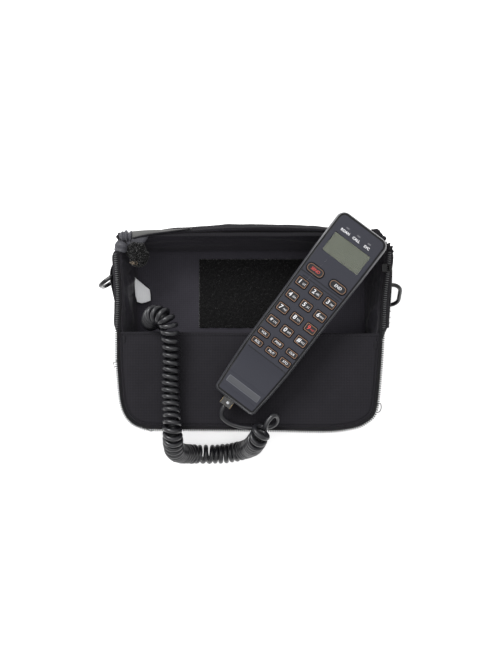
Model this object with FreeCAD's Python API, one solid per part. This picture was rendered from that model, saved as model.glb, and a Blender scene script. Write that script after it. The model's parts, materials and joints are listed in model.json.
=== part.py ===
import FreeCAD, Part
import math
import os

V = FreeCAD.Vector
os.makedirs("parts", exist_ok=True)

# ---------------------------------------------------------------- driving dimensions, mm
# The bag lies on its back. +Z is up out of its open front, +Y is its top edge, +X its right side.
# Tray of the bag: a soft box that flares towards its open rim.
LID_T = 4.4            # folded-back cover under the tray
TRAY_Z0 = 4.8          # underside of the tray
RIM_Z = 60.0           # top of the rim
RIM_HX, RIM_HY = 124.5, 92.0       # half sizes of the outside at the rim
BACK_HX, BACK_HY = 116.5, 83.0     # half sizes of the outside at the back
R_LOW, R_TOP = 24.0, 13.0          # corner radii at the lower and the upper corners
WALL = 3.0             # foam wall with cloth on both faces
BOARD_T = 1.5          # stiffening board on the floor of the tray
POCKET_Z = 57.5        # underside of the front panel of the pocket
POCKET_T = 3.0
POCKET_TOP_Y = -0.5    # its free upper edge
CHAIN_OUT = 2.1        # centre of the zip chain outside the rim
CHAIN_W, CHAIN_H = 3.0, 2.2
CHAIN_Z = 60.2
ZIP_TOP_Y = 78.0       # where both ends of the zip stop
STRIP_Y = 92.6         # cover's hinge strip, outside the top gusset
STRIP_T = 2.5
STRIP_HX = 108.0
STRIP_Z0 = 10.0
LID_HX = 116.0
LID_Y0 = -76.0         # free end of the folded-back cover
HINGE_Y = STRIP_Y + STRIP_T / 2
HINGE_LOW_Z = 4.7

# Side rings and their webbing
RING_WIRE = 4.0
RING_IN = 25.5         # inside width of a ring
RING_REACH = 17.0      # bar's centre to the outside of the bow
LEFT_BAR = (-134.0, 53.5, 35.0)
LEFT_AXIS = (0.0, 0.0, 1.0)
LEFT_OUT = (-0.824, -0.567, 0.0)
RIGHT_BAR = (131.0, 37.0, 30.0)
RIGHT_AXIS = (0.0, 0.6, 0.8)
RIGHT_OUT = (1.0, 0.0, 0.0)

# Radio unit inside the pocket
TRX_X0, TRX_X1 = -104.0, 44.0
TRX_Y0, TRX_Y1 = -72.0, -16.0
TRX_Z0 = TRAY_Z0 + WALL + BOARD_T
TRX_SPLIT, TRX_Z1 = 30.0, 51.0
CASE_T = 2.0
BAT_X0, BAT_X1 = 48.0, 104.0

# Handset, in its own axes: u to its right, v to its top, w out of its face
HS_X, HS_Y, HS_Z = 44.6, 13.6, 61.6
HS_TILT = -37.2        # turn about Z, degrees
HS_TOP, HS_BOT = 104.0, -101.0
HS_OUT = [(28.0, HS_TOP, 9.0), (28.0, 60.0, 0.0), (26.6, 0.0, 0.0), (26.2, -50.0, 0.0), (24.8, -75.0, 0.0), (22.4, HS_BOT, 5.0)]
HS_SPLIT, HS_SIDE, HS_FACE = 13.0, 22.0, 27.0
HS_BEVEL = 2.3         # face stands in from the sides
HS_BACK_IN = 4.5       # back stands in from the sides
HS_WALL = 2.0
FACE_IN = 24.5         # underside of the face wall
KEY_TOP = 28.2
FLANGE_Z0, FLANGE_Z1 = 23.2, 24.2
MAT_Z0, MAT_Z1 = 20.2, 22.1
BOARD_Z0 = 18.6
KEY_GAP = 0.35
COL = 16.05            # pitch of the key columns
KEY_W, KEY_H, KEY_R = 11.6, 8.2, 1.5
FKEY_H = 5.8
PILL_W, PILL_H = 18.0, 8.8
PILL_U, PILL_V = 13.0, 41.8
ROWS = [25.3, 10.4, -4.3, -18.9]
FROWS = [-32.9, -43.1]
LCD = (-20.0, 61.6, 20.4, 82.4)
LED_V, LED_W, LED_H = 91.3, 3.4, 1.4
LED_U = [-12.5, 0.0, 12.2]
JACK_U = -4.5
PLUG_W, PLUG_T, PLUG_L = 11.7, 6.6, 21.0
PLUG_END = -108.6      # cable end of the plug, along v
PLUG_W0 = 9.6          # underside of the plug
TROUGH_V, TROUGH_D, TROUGH_R = -74.0, 3.6, 78.0

# Cord
LEAD_D = 4.4
COIL_D = 18.4


# ---------------------------------------------------------------- helpers
def round_wire(pts, z):
    """Closed wire through the corners (x, y, radius) at height z."""
    n = len(pts)
    edges = []
    ends = []
    for i in range(n):
        a, p, b = V(*pts[i - 1][:2], z), V(*pts[i][:2], z), V(*pts[(i + 1) % n][:2], z)
        r = pts[i][2]
        if r <= 0:
            ends.append((p, None, p))
            continue
        d1, d2 = (a - p).normalize(), (b - p).normalize()
        half = math.acos(max(-1, min(1, d1.dot(d2)))) / 2
        t = r / math.tan(half)
        bis = (d1 + d2).normalize()
        c = p + bis * (r / math.sin(half))
        ends.append((p + d1 * t, c - bis * r, p + d2 * t))
    for i in range(n):
        s, m, e = ends[i]
        if m is not None:
            edges.append(Part.Arc(s, m, e).toShape())
        nxt = ends[(i + 1) % n][0]
        if (nxt - e).Length > 1e-6:
            edges.append(Part.LineSegment(e, nxt).toShape())
    return Part.Wire(edges)


def tray_wire(hx, hy, z, rl=R_LOW, rt=R_TOP):
    return round_wire([(-hx, -hy, rl), (hx, -hy, rl), (hx, hy, rt), (-hx, hy, rt)], z)


def prism(wire, h):
    return Part.Face(wire).extrude(V(0, 0, h))


def loft(w1, w2):
    return Part.makeLoft([w1, w2], True, True)


def box(x0, y0, z0, x1, y1, z1):
    return Part.makeBox(x1 - x0, y1 - y0, z1 - z0, V(x0, y0, z0))


def cyl(r, p, d, h):
    return Part.makeCylinder(r, h, V(*p), V(*d))


def rbox(cx, cy, w, h, r, z0, z1):
    return prism(round_wire([(cx - w / 2, cy - h / 2, r), (cx + w / 2, cy - h / 2, r), (cx + w / 2, cy + h / 2, r), (cx - w / 2, cy + h / 2, r)], z0), z1 - z0)


def hs(shape):
    """From the handset's own axes to the bag's."""
    s = shape.copy()
    s.rotate(V(0, 0, 0), V(0, 0, 1), HS_TILT)
    s.translate(V(HS_X, HS_Y, HS_Z))
    return s


def hs_pt(u, v, w):
    a = math.radians(HS_TILT)
    return V(HS_X + u * math.cos(a) - v * math.sin(a), HS_Y + u * math.sin(a) + v * math.cos(a), HS_Z + w)


def tube(name, pts, dia):
    """Round tube along straight runs joined by tangent arcs. Prints the arcs' radii."""
    p = [V(*q) for q in pts]
    edges, cur, radii, length = [], p[0], [], 0.0
    for i in range(1, len(p) - 1):
        d1, d2 = (p[i - 1] - p[i]), (p[i + 1] - p[i])
        l1, l2 = d1.Length, d2.Length
        d1.normalize()
        d2.normalize()
        turn = math.pi - math.acos(max(-1, min(1, d1.dot(d2))))
        t = 0.45 * min(l1, l2)
        r = t / math.tan(turn / 2)
        radii.append((round(r, 1), round(math.degrees(turn))))
        s, e = p[i] + d1 * t, p[i] + d2 * t
        bis = (d1 + d2).normalize()
        c = p[i] + bis * math.sqrt(r * r + t * t)
        edges.append(Part.LineSegment(cur, s).toShape())
        edges.append(Part.Arc(s, c - bis * r, e).toShape())
        cur = e
    edges.append(Part.LineSegment(cur, p[-1]).toShape())
    w = Part.Wire(edges)
    length = w.Length
    start_dir = (p[1] - p[0]).normalize()
    prof = Part.Wire([Part.Circle(p[0], start_dir, dia / 2).toShape()])
    s = w.makePipeShell([prof], True, False)
    if not isinstance(s, Part.Solid):
        s = s.Solids[0] if s.Solids else Part.Solid(s)
    want = math.pi * dia * dia / 4 * length
    print("%s: length %.1f, radii (mm, turn deg) %s, volume %.0f of %.0f, valid %s" % (name, length, radii, s.Volume, want, s.isValid()))
    return s


made = {}


def out(name, shape):
    if isinstance(shape, list):
        shape = Part.makeCompound(shape)
    if not isinstance(shape, Part.Solid) and len(shape.Solids) == 1:
        shape = shape.Solids[0]
    shape.exportStep("parts/%s.step" % name)
    made[name] = shape


# ---------------------------------------------------------------- bag tray
outer = loft(tray_wire(BACK_HX, BACK_HY, TRAY_Z0), tray_wire(RIM_HX, RIM_HY, RIM_Z))
iz = TRAY_Z0 + WALL
inner = loft(tray_wire(BACK_HX - WALL, BACK_HY - WALL, iz, R_LOW - 2, R_TOP - 2), tray_wire(RIM_HX - WALL, RIM_HY - WALL, RIM_Z, R_LOW - 2, R_TOP - 2))
# binding over the top rim, where the cover is sewn on
shell = outer.cut(inner).fuse(box(-104, RIM_HY - WALL, RIM_Z - 0.2, 104, RIM_HY, RIM_Z + 1.2)).removeSplitter()
out("bag_shell", shell)

out("back_board", rbox(0, 0, 216, 150, 16, iz, iz + BOARD_T))
out("loop_patch", rbox(10.0, 40.4, 124.0, 68.4, 3.0, iz + BOARD_T, iz + BOARD_T + 1.4))

# front panel of the pocket, sewn to the gussets all round but its upper edge
panel = inner.common(box(-200, -200, POCKET_Z, 200, POCKET_TOP_Y, POCKET_Z + 2.5 - 0.0))
panel = panel.fuse(prism(tray_wire(RIM_HX - WALL, RIM_HY - WALL, RIM_Z, R_LOW - 2, R_TOP - 2), POCKET_Z + POCKET_T - RIM_Z).common(box(-200, -200, RIM_Z, 200, POCKET_TOP_Y, RIM_Z + 5))).removeSplitter()
out("pocket_panel", panel)



def chain_ring(o0, o1, z0, z1):
    a = prism(tray_wire(RIM_HX + o1, RIM_HY + o1, z0, R_LOW + o1, R_TOP + o1), z1 - z0)
    b = prism(tray_wire(RIM_HX + o0, RIM_HY + o0, z0 - 1, R_LOW + o0, R_TOP + o0), z1 - z0 + 2)
    return a.cut(b).common(box(-300, -300, z0 - 5, 300, ZIP_TOP_Y, z1 + 5))


tape = chain_ring(-2.9, CHAIN_OUT - CHAIN_W / 2, 61.0, 61.6)
foot = chain_ring(-2.9, -1.2, RIM_Z, 61.0)
out("zip_tape", tape.fuse(foot).removeSplitter())
out("zip_chain", chain_ring(CHAIN_OUT - CHAIN_W / 2, CHAIN_OUT + CHAIN_W / 2, CHAIN_Z, CHAIN_Z + CHAIN_H))

# ---------------------------------------------------------------- zip slider on the right side, with its pull
cx = RIM_HX + CHAIN_OUT
sy = 60.0
sl = 9.0
top_plate = box(cx - 3.6, sy - sl / 2, 62.8, cx + 3.0, sy + sl / 2, 64.0)
web = box(cx + 2.0, sy - sl / 2, 58.6, cx + 3.0, sy + sl / 2, 64.0)
bottom_plate = box(cx - 1.6, sy - sl / 2, 58.6, cx + 3.0, sy + sl / 2, 59.8)
lug1 = box(cx + 3.0, sy - 3.4, 60.4, cx + 6.4, sy - 2.2, 63.4)
lug2 = box(cx + 3.0, sy + 2.2, 60.4, cx + 6.4, sy + 3.4, 63.4)
pin = cyl(0.7, (cx + 5.3, sy - 3.4, 61.9), (0, 1, 0), 6.8)
slider = top_plate.fuse([web, bottom_plate, lug1, lug2, pin]).removeSplitter()
out("zip_slider", slider)
eye = cyl(1.8, (cx + 5.3, sy - 1.8, 61.9), (0, 1, 0), 3.6)
tab = box(cx + 4.6, sy - 1.8, 57.5, cx + 6.0, sy + 1.8, 61.9)
tab2 = box(cx + 4.6, sy - 3.0, 45.6, cx + 6.0, sy + 3.0, 57.5)
pull = eye.fuse([tab, tab2]).cut(cyl(1.0, (cx + 5.3, sy - 5, 61.9), (0, 1, 0), 10)).cut(box(cx + 2, sy - 1.5, 46.9, cx + 8, sy + 1.5, 50.5)).removeSplitter()
out("zip_pull", pull)

# ---------------------------------------------------------------- cover, folded back under the tray
out("lid_strip", box(-STRIP_HX, STRIP_Y, STRIP_Z0, STRIP_HX, STRIP_Y + STRIP_T, RIM_Z))
lid = prism(round_wire([(-LID_HX, LID_Y0, 20), (LID_HX, LID_Y0, 20), (LID_HX, HINGE_Y - 0.3, 3), (-LID_HX, HINGE_Y - 0.3, 3)], 0), LID_T)
lid_chain = prism(round_wire([(-LID_HX - 1.5, LID_Y0 - 1.5, 21.5), (LID_HX + 1.5, LID_Y0 - 1.5, 21.5), (LID_HX + 1.5, 70, 0), (-LID_HX - 1.5, 70, 0)], 1.1), CHAIN_H)
lid_chain = lid_chain.cut(prism(round_wire([(-LID_HX, LID_Y0, 20), (LID_HX, LID_Y0, 20), (LID_HX, 80, 0), (-LID_HX, 80, 0)], -1), 10))
out("lid_zip_chain", lid_chain)
out("lid_panel", lid)


# ---------------------------------------------------------------- webbing and rings
def ring():
    """D-shaped ring about the origin: straight bar along (0, 0.6, 0.8), bow towards +X."""
    r = RING_WIRE / 2
    a, d, c = V(0, 0.6, 0.8), V(1, 0, 0), V(0, 0, 0)
    h = RING_IN / 2 + r
    reach = RING_REACH - r
    big, small = reach * 0.6, 3.2
    k = math.sqrt(0.5)

    def at(x, y):
        return c + a * x + d * y

    def corner(sx, cxx, cyy, rr, top):
        sy_ = 1 if top else -1
        return at(sx * (cxx + rr * k), cyy + sy_ * rr * k)

    e = [
        Part.LineSegment(at(0, 0), at(h - small, 0)),
        Part.Arc(at(h - small, 0), corner(1, h - small, small, small, False), at(h, small)),
        Part.LineSegment(at(h, small), at(h, reach - big)),
        Part.Arc(at(h, reach - big), corner(1, h - big, reach - big, big, True), at(h - big, reach)),
        Part.LineSegment(at(h - big, reach), at(-h + big, reach)),
        Part.Arc(at(-h + big, reach), corner(-1, h - big, reach - big, big, True), at(-h, reach - big)),
        Part.LineSegment(at(-h, reach - big), at(-h, small)),
        Part.Arc(at(-h, small), corner(-1, h - small, small, small, False), at(-h + small, 0)),
        Part.LineSegment(at(-h + small, 0), at(0, 0)),
    ]
    w = Part.Wire([q.toShape() for q in e])
    prof = Part.Wire([Part.Circle(at(0, 0), a, r).toShape()])
    return w.makePipeShell([prof], True, False)


def placed(shape, bar, axis, outward):
    """The ring with its bar at bar, along axis, and its bow towards outward."""
    a, d = V(*axis), V(*outward)
    n = a.cross(d)
    m = FreeCAD.Matrix(d.x, a.x, n.x, bar[0], d.y, a.y, n.y, bar[1], d.z, a.z, n.z, bar[2], 0, 0, 0, 1)
    a0, d0 = V(0, 0.6, 0.8), V(1, 0, 0)
    n0 = a0.cross(d0)
    m0 = FreeCAD.Matrix(d0.x, a0.x, n0.x, 0, d0.y, a0.y, n0.y, 0, d0.z, a0.z, n0.z, 0, 0, 0, 0, 1)
    s = shape.copy()
    s.Placement = FreeCAD.Placement(m.multiply(m0.inverse()))
    return s


RING = ring()
out("d_ring_left", placed(RING, LEFT_BAR, LEFT_AXIS, (LEFT_OUT[0], LEFT_OUT[1], 0.0)))
out("d_ring_right", placed(RING, RIGHT_BAR, RIGHT_AXIS, RIGHT_OUT))


def webbing(side, y0, y1, bar, axis):
    """Webbing strip sewn to the side gusset, folded round the ring's bar."""
    x_out = 128.4
    strip = box(100, y0, 17.5, x_out, y1, 42.5) if side > 0 else box(-x_out, y0, 22.5, -100, y1, 47.5)
    strip = strip.cut(outer)
    a, c = V(*axis), V(*bar)
    half = 10.0
    base = c - a * half
    sleeve = cyl(4.2, tuple(base), tuple(a), 2 * half)
    neck_x0 = min(side * 122.0, bar[0]) if side < 0 else 122.0
    lo, hi = (bar[0], -122.0) if side < 0 else (122.0, bar[0])
    # neck from the strip to the sleeve, along the bar's own direction
    neck = Part.makeBox(abs(hi - lo), 7.0, 2 * half)
    neck.translate(V(0, -3.5, -half))
    rot = FreeCAD.Rotation(V(0, 0, 1), a)
    neck.Placement = FreeCAD.Placement(V(lo, c.y, c.z), rot).multiply(neck.Placement)
    body = strip.fuse([sleeve, neck.cut(outer)])
    body = body.cut(cyl(RING_WIRE / 2 + 0.5, tuple(c - a * 30), tuple(a), 60)).cut(outer)
    return body.removeSplitter()


def biggest(s):
    return sorted(s.Solids, key=lambda q: -q.Volume)[0]


wl = biggest(webbing(-1, 14.0, 70.0, LEFT_BAR, LEFT_AXIS))
wr = biggest(webbing(1, 4.0, 76.0, RIGHT_BAR, RIGHT_AXIS))
out("strap_webbing", [wl, wr])

# blank label sewn into the left seam of the back panel
lab = [(-116.0, 51.5), (-101.5, 39.0), (-101.0, 28.5), (-105.0, 26.5), (-110.0, 25.6), (-114.0, 27.2), (-115.2, 33.0)]
lab_w = Part.makePolygon([V(x + 3.0, y, iz + BOARD_T) for x, y in lab] + [V(lab[0][0] + 3.0, lab[0][1], iz + BOARD_T)])
label = Part.Face(Part.Wire(lab_w.Edges)).extrude(V(0, 0, 0.8)).common(inner)
out("sewn_label", label)

# ---------------------------------------------------------------- radio unit and battery
T = CASE_T


def posts(z0, z1, hole):
    s = None
    for x in (TRX_X0 + 6, TRX_X1 - 6):
        for y in (TRX_Y0 + 6, TRX_Y1 - 6):
            b = box(x - 4, y - 4, z0, x + 4, y + 4, z1).cut(cyl(hole, (x, y, z0 - 1), (0, 0, 1), z1 - z0 + 2))
            s = b if s is None else s.fuse(b)
    return s


lower = rbox((TRX_X0 + TRX_X1) / 2, (TRX_Y0 + TRX_Y1) / 2, TRX_X1 - TRX_X0, TRX_Y1 - TRX_Y0, 3, TRX_Z0, TRX_SPLIT)
lower = lower.cut(box(TRX_X0 + T, TRX_Y0 + T, TRX_Z0 + T, TRX_X1 - T, TRX_Y1 - T, TRX_SPLIT + 1))
lower = lower.fuse(posts(TRX_Z0 + 1, TRX_SPLIT, 1.5)).removeSplitter()
upper = rbox((TRX_X0 + TRX_X1) / 2, (TRX_Y0 + TRX_Y1) / 2, TRX_X1 - TRX_X0, TRX_Y1 - TRX_Y0, 3, TRX_SPLIT, TRX_Z1)
upper = upper.cut(box(TRX_X0 + T, TRX_Y0 + T, TRX_SPLIT - 1, TRX_X1 - T, TRX_Y1 - T, TRX_Z1 - T))
upper = upper.fuse(posts(TRX_SPLIT, TRX_Z1 - 1, 1.7))
for x in (TRX_X0 + 6, TRX_X1 - 6):
    for y in (TRX_Y0 + 6, TRX_Y1 - 6):
        upper = upper.cut(cyl(1.7, (x, y, TRX_SPLIT - 1), (0, 0, 1), 40)).cut(cyl(3.1, (x, y, TRX_Z1 - 2.0), (0, 0, 1), 5))
for k in range(9):
    x = TRX_X0 + 30 + k * 10
    upper = upper.cut(box(x, TRX_Y0 + 14, TRX_Z1 - 1.0, x + 4, TRX_Y1 - 14, TRX_Z1 + 1))
# openings in the upper edge's wall for the sockets
SOCK_X, SOCK_Z = -84.0, 38.0
PWR_X, ANT_X = -30.0, 16.0
upper = upper.cut(box(SOCK_X - 6.2, TRX_Y1 - 5, SOCK_Z - 3.6, SOCK_X + 6.2, TRX_Y1 + 1, SOCK_Z + 5.2))
upper = upper.cut(cyl(4.0, (PWR_X, TRX_Y1 - 5, SOCK_Z), (0, 1, 0), 8)).cut(cyl(4.8, (ANT_X, TRX_Y1 - 5, SOCK_Z), (0, 1, 0), 8))
upper = upper.removeSplitter()
out("radio_case_lower", lower)
out("radio_case_upper", upper)
board = box(TRX_X0 + 12, TRX_Y0 + 4, 22.0, TRX_X1 - 12, TRX_Y1 - 4, 23.6)
out("radio_board", board)
sock = box(SOCK_X - 7.6, TRX_Y1 - 2 - 13, SOCK_Z - 5.2, SOCK_X + 7.6, TRX_Y1 - 2, SOCK_Z + 6.8)
sock = sock.cut(box(SOCK_X - 6.0, TRX_Y1 - 2 - 11.6, SOCK_Z - 3.5, SOCK_X + 6.0, TRX_Y1, SOCK_Z + 5.1))
out("radio_cord_socket", sock)
pwr = cyl(3.9, (PWR_X, TRX_Y1 - 12, SOCK_Z), (0, 1, 0), 12).cut(cyl(2.75, (PWR_X, TRX_Y1 - 9.5, SOCK_Z), (0, 1, 0), 12)).fuse(cyl(1.0, (PWR_X, TRX_Y1 - 10, SOCK_Z), (0, 1, 0), 9.0))
out("power_inlet", pwr)
ant = cyl(4.7, (ANT_X, TRX_Y1 - 8, SOCK_Z), (0, 1, 0), 8).fuse(cyl(3.95, (ANT_X, TRX_Y1 - 1, SOCK_Z), (0, 1, 0), 11.0)).cut(cyl(2.2, (ANT_X, TRX_Y1 + 1, SOCK_Z), (0, 1, 0), 20)).fuse(cyl(0.6, (ANT_X, TRX_Y1, SOCK_Z), (0, 1, 0), 8))
out("antenna_socket", ant.removeSplitter())
screws = []
for x in (TRX_X0 + 6, TRX_X1 - 6):
    for y in (TRX_Y0 + 6, TRX_Y1 - 6):
        screws.append(cyl(1.5, (x, y, 16.0), (0, 0, 1), TRX_Z1 - 2.0 - 16.0).fuse(cyl(2.8, (x, y, TRX_Z1 - 2.0), (0, 0, 1), 1.8)).removeSplitter())
out("radio_case_screws", screws)
bat = rbox((BAT_X0 + BAT_X1) / 2, (TRX_Y0 + TRX_Y1) / 2, BAT_X1 - BAT_X0, TRX_Y1 - TRX_Y0, 4, TRX_Z0, 47.0)
out("battery_pack", bat)

# ---------------------------------------------------------------- handset
def hs_wire(inset, z, top_in=None, bot_in=None):
    ti = inset if top_in is None else top_in
    bi = inset if bot_in is None else bot_in
    right = []
    for x, y, r in HS_OUT:
        yy = y - ti if y == HS_TOP else y + bi if y == HS_BOT else y
        right.append((x - inset, yy, max(r - inset * 0.6, 1.0) if r else 0))
    left = [(-x, y, r) for x, y, r in reversed(right)]
    return round_wire(right + left, z)


h_front = prism(hs_wire(0, HS_SPLIT), HS_SIDE - HS_SPLIT).fuse(loft(hs_wire(0, HS_SIDE), hs_wire(HS_BEVEL, HS_FACE)))
cav = prism(hs_wire(HS_WALL + 0.6, HS_SPLIT - 1), 19.6 - HS_SPLIT + 1)
cav = cav.fuse(prism(hs_wire(HS_WALL + 0.6, 19.6), FACE_IN - 19.6).common(box(-60, -50.0, 0, 60, 120, 60)))
h_front = h_front.cut(cav)
trough = cyl(TROUGH_R, (-60, TROUGH_V, HS_FACE - TROUGH_D + TROUGH_R), (1, 0, 0), 120)
h_front = h_front.cut(trough)
keys = {}


def key(name, u, v, w, h, r):
    g = KEY_GAP
    capb = rbox(u, v, w, h, r, FLANGE_Z1, KEY_TOP - 0.5)
    dish = loft(round_wire([(u - w / 2, v - h / 2, r), (u + w / 2, v - h / 2, r), (u + w / 2, v + h / 2, r), (u - w / 2, v + h / 2, r)], KEY_TOP - 0.5),
                round_wire([(u - w / 2 + 0.4, v - h / 2 + 0.4, r - 0.4), (u + w / 2 - 0.4, v - h / 2 + 0.4, r - 0.4), (u + w / 2 - 0.4, v + h / 2 - 0.4, r - 0.4), (u - w / 2 + 0.4, v + h / 2 - 0.4, r - 0.4)], KEY_TOP))
    fl = rbox(u, v, w + 1.6, h + 1.6, r + 0.8, FLANGE_Z0, FLANGE_Z1)
    keys[name] = capb.fuse([dish, fl]).removeSplitter()
    return rbox(u, v, w + 2 * g, h + 2 * g, r + g, FACE_IN - 1, HS_FACE + 2)


holes = [key("key_send", -PILL_U, PILL_V, PILL_W, PILL_H, PILL_H / 2 - 0.4), key("key_end", PILL_U, PILL_V, PILL_W, PILL_H, PILL_H / 2 - 0.4)]
names = [["key_1", "key_2", "key_3"], ["key_4", "key_5", "key_6"], ["key_7", "key_8", "key_9"], ["key_star", "key_0", "key_hash"]]
for row, v in zip(names, ROWS):
    for n, c in zip(row, (-1, 0, 1)):
        holes.append(key(n, c * COL, v, KEY_W, KEY_H, KEY_R))
for row, v in zip([["key_vol", "key_pwr", "key_clr"], ["key_rcl", "key_mute", "key_sto"]], FROWS):
    for n, c in zip(row, (-1, 0, 1)):
        holes.append(key(n, c * COL, v, KEY_W, FKEY_H, KEY_R))
for h in holes:
    h_front = h_front.cut(h)
# display window, its module, and the three indicator lenses
u0, v0, u1, v1 = LCD
h_front = h_front.cut(box(u0, v0, FACE_IN - 1, u1, v1, HS_FACE + 1))
window = box(u0, v0, FACE_IN, u1, v1, HS_FACE - 0.7)
lcd = box(u0 + 0.5, v0 - 0.8, 17.5, u1 - 0.5, v1 + 0.8, 24.3)
leds = []
for u in LED_U:
    h_front = h_front.cut(box(u - LED_W / 2, LED_V - LED_H / 2, FACE_IN - 1, u + LED_W / 2, LED_V + LED_H / 2, HS_FACE + 1))
    leds.append(box(u - LED_W / 2, LED_V - LED_H / 2, FACE_IN - 2, u + LED_W / 2, LED_V + LED_H / 2, HS_FACE + 0.1))
# parting line between display section and keypad section
h_front = h_front.cut(box(-40, 34.6, HS_FACE - 0.5, 40, 35.3, HS_FACE + 1))
# blank badge recess
h_front = h_front.cut(box(-18.0, -88.8, 20, 18.0, -81.8, 30).common(cyl(TROUGH_R + 0.6, (-60, TROUGH_V, HS_FACE - TROUGH_D + TROUGH_R), (1, 0, 0), 120)))
badge = box(-17.8, -88.6, 20, 17.8, -82.0, 30).common(cyl(TROUGH_R + 0.6, (-60, TROUGH_V, HS_FACE - TROUGH_D + TROUGH_R), (1, 0, 0), 120)).cut(cyl(TROUGH_R - 0.1, (-60, TROUGH_V, HS_FACE - TROUGH_D + TROUGH_R), (1, 0, 0), 120))

h_rear = prism(hs_wire(0, 4.5), HS_SPLIT - 4.5).fuse(loft(hs_wire(HS_BACK_IN, 0), hs_wire(0, 4.5)))
h_rear = h_rear.cut(prism(hs_wire(HS_WALL + 0.6, 4.6), HS_SPLIT)).cut(prism(hs_wire(HS_BACK_IN + HS_WALL, HS_WALL), 10))
# sound holes of the earpiece and the mouthpiece, in the back
SPK_V, MIC_V = 78.0, -88.0
for k in range(7):
    a = math.radians(60 * k)
    x, y = (0, SPK_V) if k == 6 else (5.0 * math.cos(a), SPK_V + 5.0 * math.sin(a))
    h_rear = h_rear.cut(cyl(1.1, (x, y, -1), (0, 0, 1), 5))
h_rear = h_rear.cut(cyl(0.9, (8, MIC_V, -1), (0, 0, 1), 5))
# screw posts
POSTS = [(-20.5, 54.0), (20.5, 54.0), (-19.5, -56.0), (19.5, -56.0)]
for u, v in POSTS:
    top = FACE_IN if v > 0 else 19.6
    h_rear = h_rear.fuse(cyl(3.0, (u, v, HS_WALL - 0.5), (0, 0, 1), HS_SPLIT - HS_WALL + 0.5))
    h_rear = h_rear.cut(cyl(1.35, (u, v, -1), (0, 0, 1), 20)).cut(cyl(2.5, (u, v, -1), (0, 0, 1), 1 + 3.0))
    h_front = h_front.fuse(cyl(2.8, (u, v, HS_SPLIT), (0, 0, 1), top - HS_SPLIT + 0.5)).cut(cyl(1.2, (u, v, HS_SPLIT - 1), (0, 0, 1), 6.5))
# the cord's socket goes through the lower end, across the parting line
JW0, JW1 = PLUG_W0 - 0.2, PLUG_W0 + PLUG_T + 1.9
cut_end = box(JACK_U - PLUG_W / 2 - 0.25, HS_BOT - 3, JW0, JACK_U + PLUG_W / 2 + 0.25, HS_BOT + 6, JW1)
h_front = h_front.cut(cut_end)
h_rear = h_rear.cut(cut_end)
jb = HS_BOT + 2.8
jack = box(JACK_U - 7.6, jb, JW0 - 1.6, JACK_U + 7.6, jb + 14, 19.4)
jack = jack.cut(box(JACK_U - PLUG_W / 2 - 0.15, jb - 1, PLUG_W0 - 0.1, JACK_U + PLUG_W / 2 + 0.15, jb + 12.4, PLUG_W0 + PLUG_T + 1.8))
out("handset_front_shell", hs(h_front.removeSplitter()))
out("handset_rear_shell", hs(h_rear.removeSplitter()))
out("display_window", hs(window))
out("display_module", hs(lcd))
out("indicator_lenses", [hs(s) for s in leds])
out("badge_plate", hs(badge))
out("keypad_board", hs(box(-23, -49.5, BOARD_Z0, 23, 49.0, MAT_Z0)))
out("keypad_mat", hs(box(-23.2, -48.5, MAT_Z0, 23.2, 48.0, MAT_Z1)))
out("earpiece_speaker", hs(cyl(12.0, (0, SPK_V, HS_WALL), (0, 0, 1), 2.6).fuse(cyl(8.0, (0, SPK_V, 4.6), (0, 0, 1), 4.0)).removeSplitter()))
out("microphone", hs(cyl(4.6, (8, MIC_V, HS_WALL), (0, 0, 1), 4.5)))
out("handset_cord_socket", hs(jack))
out("handset_screws", [hs(cyl(1.2, (u, v, 2.0), (0, 0, 1), 16.0).fuse(cyl(2.3, (u, v, 1.2), (0, 0, 1), 1.8)).removeSplitter()) for u, v in POSTS])
for n, s in keys.items():
    out(n, hs(s))


def plug(u, v0, w0, length):
    """Eight-way modular plug with its latch lever on top, cable end at v0."""
    b = box(u - PLUG_W / 2, v0, w0, u + PLUG_W / 2, v0 + length, w0 + PLUG_T)
    lever = box(u - 3.2, v0 + 3.0, w0 + PLUG_T, u + 3.2, v0 + length - 2.0, w0 + PLUG_T + 1.2)
    return b.fuse(lever).removeSplitter()


out("handset_plug", hs(plug(JACK_U, PLUG_END, PLUG_W0, 20.0)))
rp = plug(0, 0, 0, 20.0)
rp.rotate(V(0, 0, 0), V(0, 0, 1), 180)
RP_Y = TRX_Y1 + 8.0
rp.translate(V(SOCK_X, RP_Y, SOCK_Z - 3.3))
out("radio_plug", rp)

# ---------------------------------------------------------------- cord
COIL = [
    (-99.9, 11.1, 47.0), (-99.0, 13.5, 64.0), (-91.7, 19.1, 78.5), (-79.0, 14.0, 82.0), (-75.6, -0.5, 77.0), (-75.0, -17.0, 72.4),
    (-75.6, -35.0, 71.2), (-77.2, -53.0, 70.8), (-75.6, -73.0, 71.8), (-73.5, -95.0, 77.5), (-72.5, -114.6, 59.0),
    (-68.0, -120.5, 34.0), (-57.0, -121.8, 14.5), (-41.0, -119.2, 10.2), (-23.0, -118.5, 9.8), (-5.5, -114.0, 16.0),
    (1.0, -110.5, 36.0), (3.0, -107.6, 57.0), (6.8, -100.6, 77.2), (12.5, -89.0, 80.0),
]
out("cord_coil", tube("cord_coil", COIL, COIL_D))
c0 = COIL[0]
RADIO_LEAD = [(SOCK_X, RP_Y, SOCK_Z), (SOCK_X, RP_Y + 6.5, SOCK_Z), (-88.0, 5.2, 34.6), (-96.2, 9.2, 33.6), (-100.6, 9.6, 38.2), (c0[0], c0[1], c0[2])]
out("radio_lead", tube("radio_lead", RADIO_LEAD, LEAD_D))
pe = hs_pt(JACK_U, PLUG_END - 0.35, PLUG_W0 + PLUG_T / 2)
ce = COIL[-1]
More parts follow.
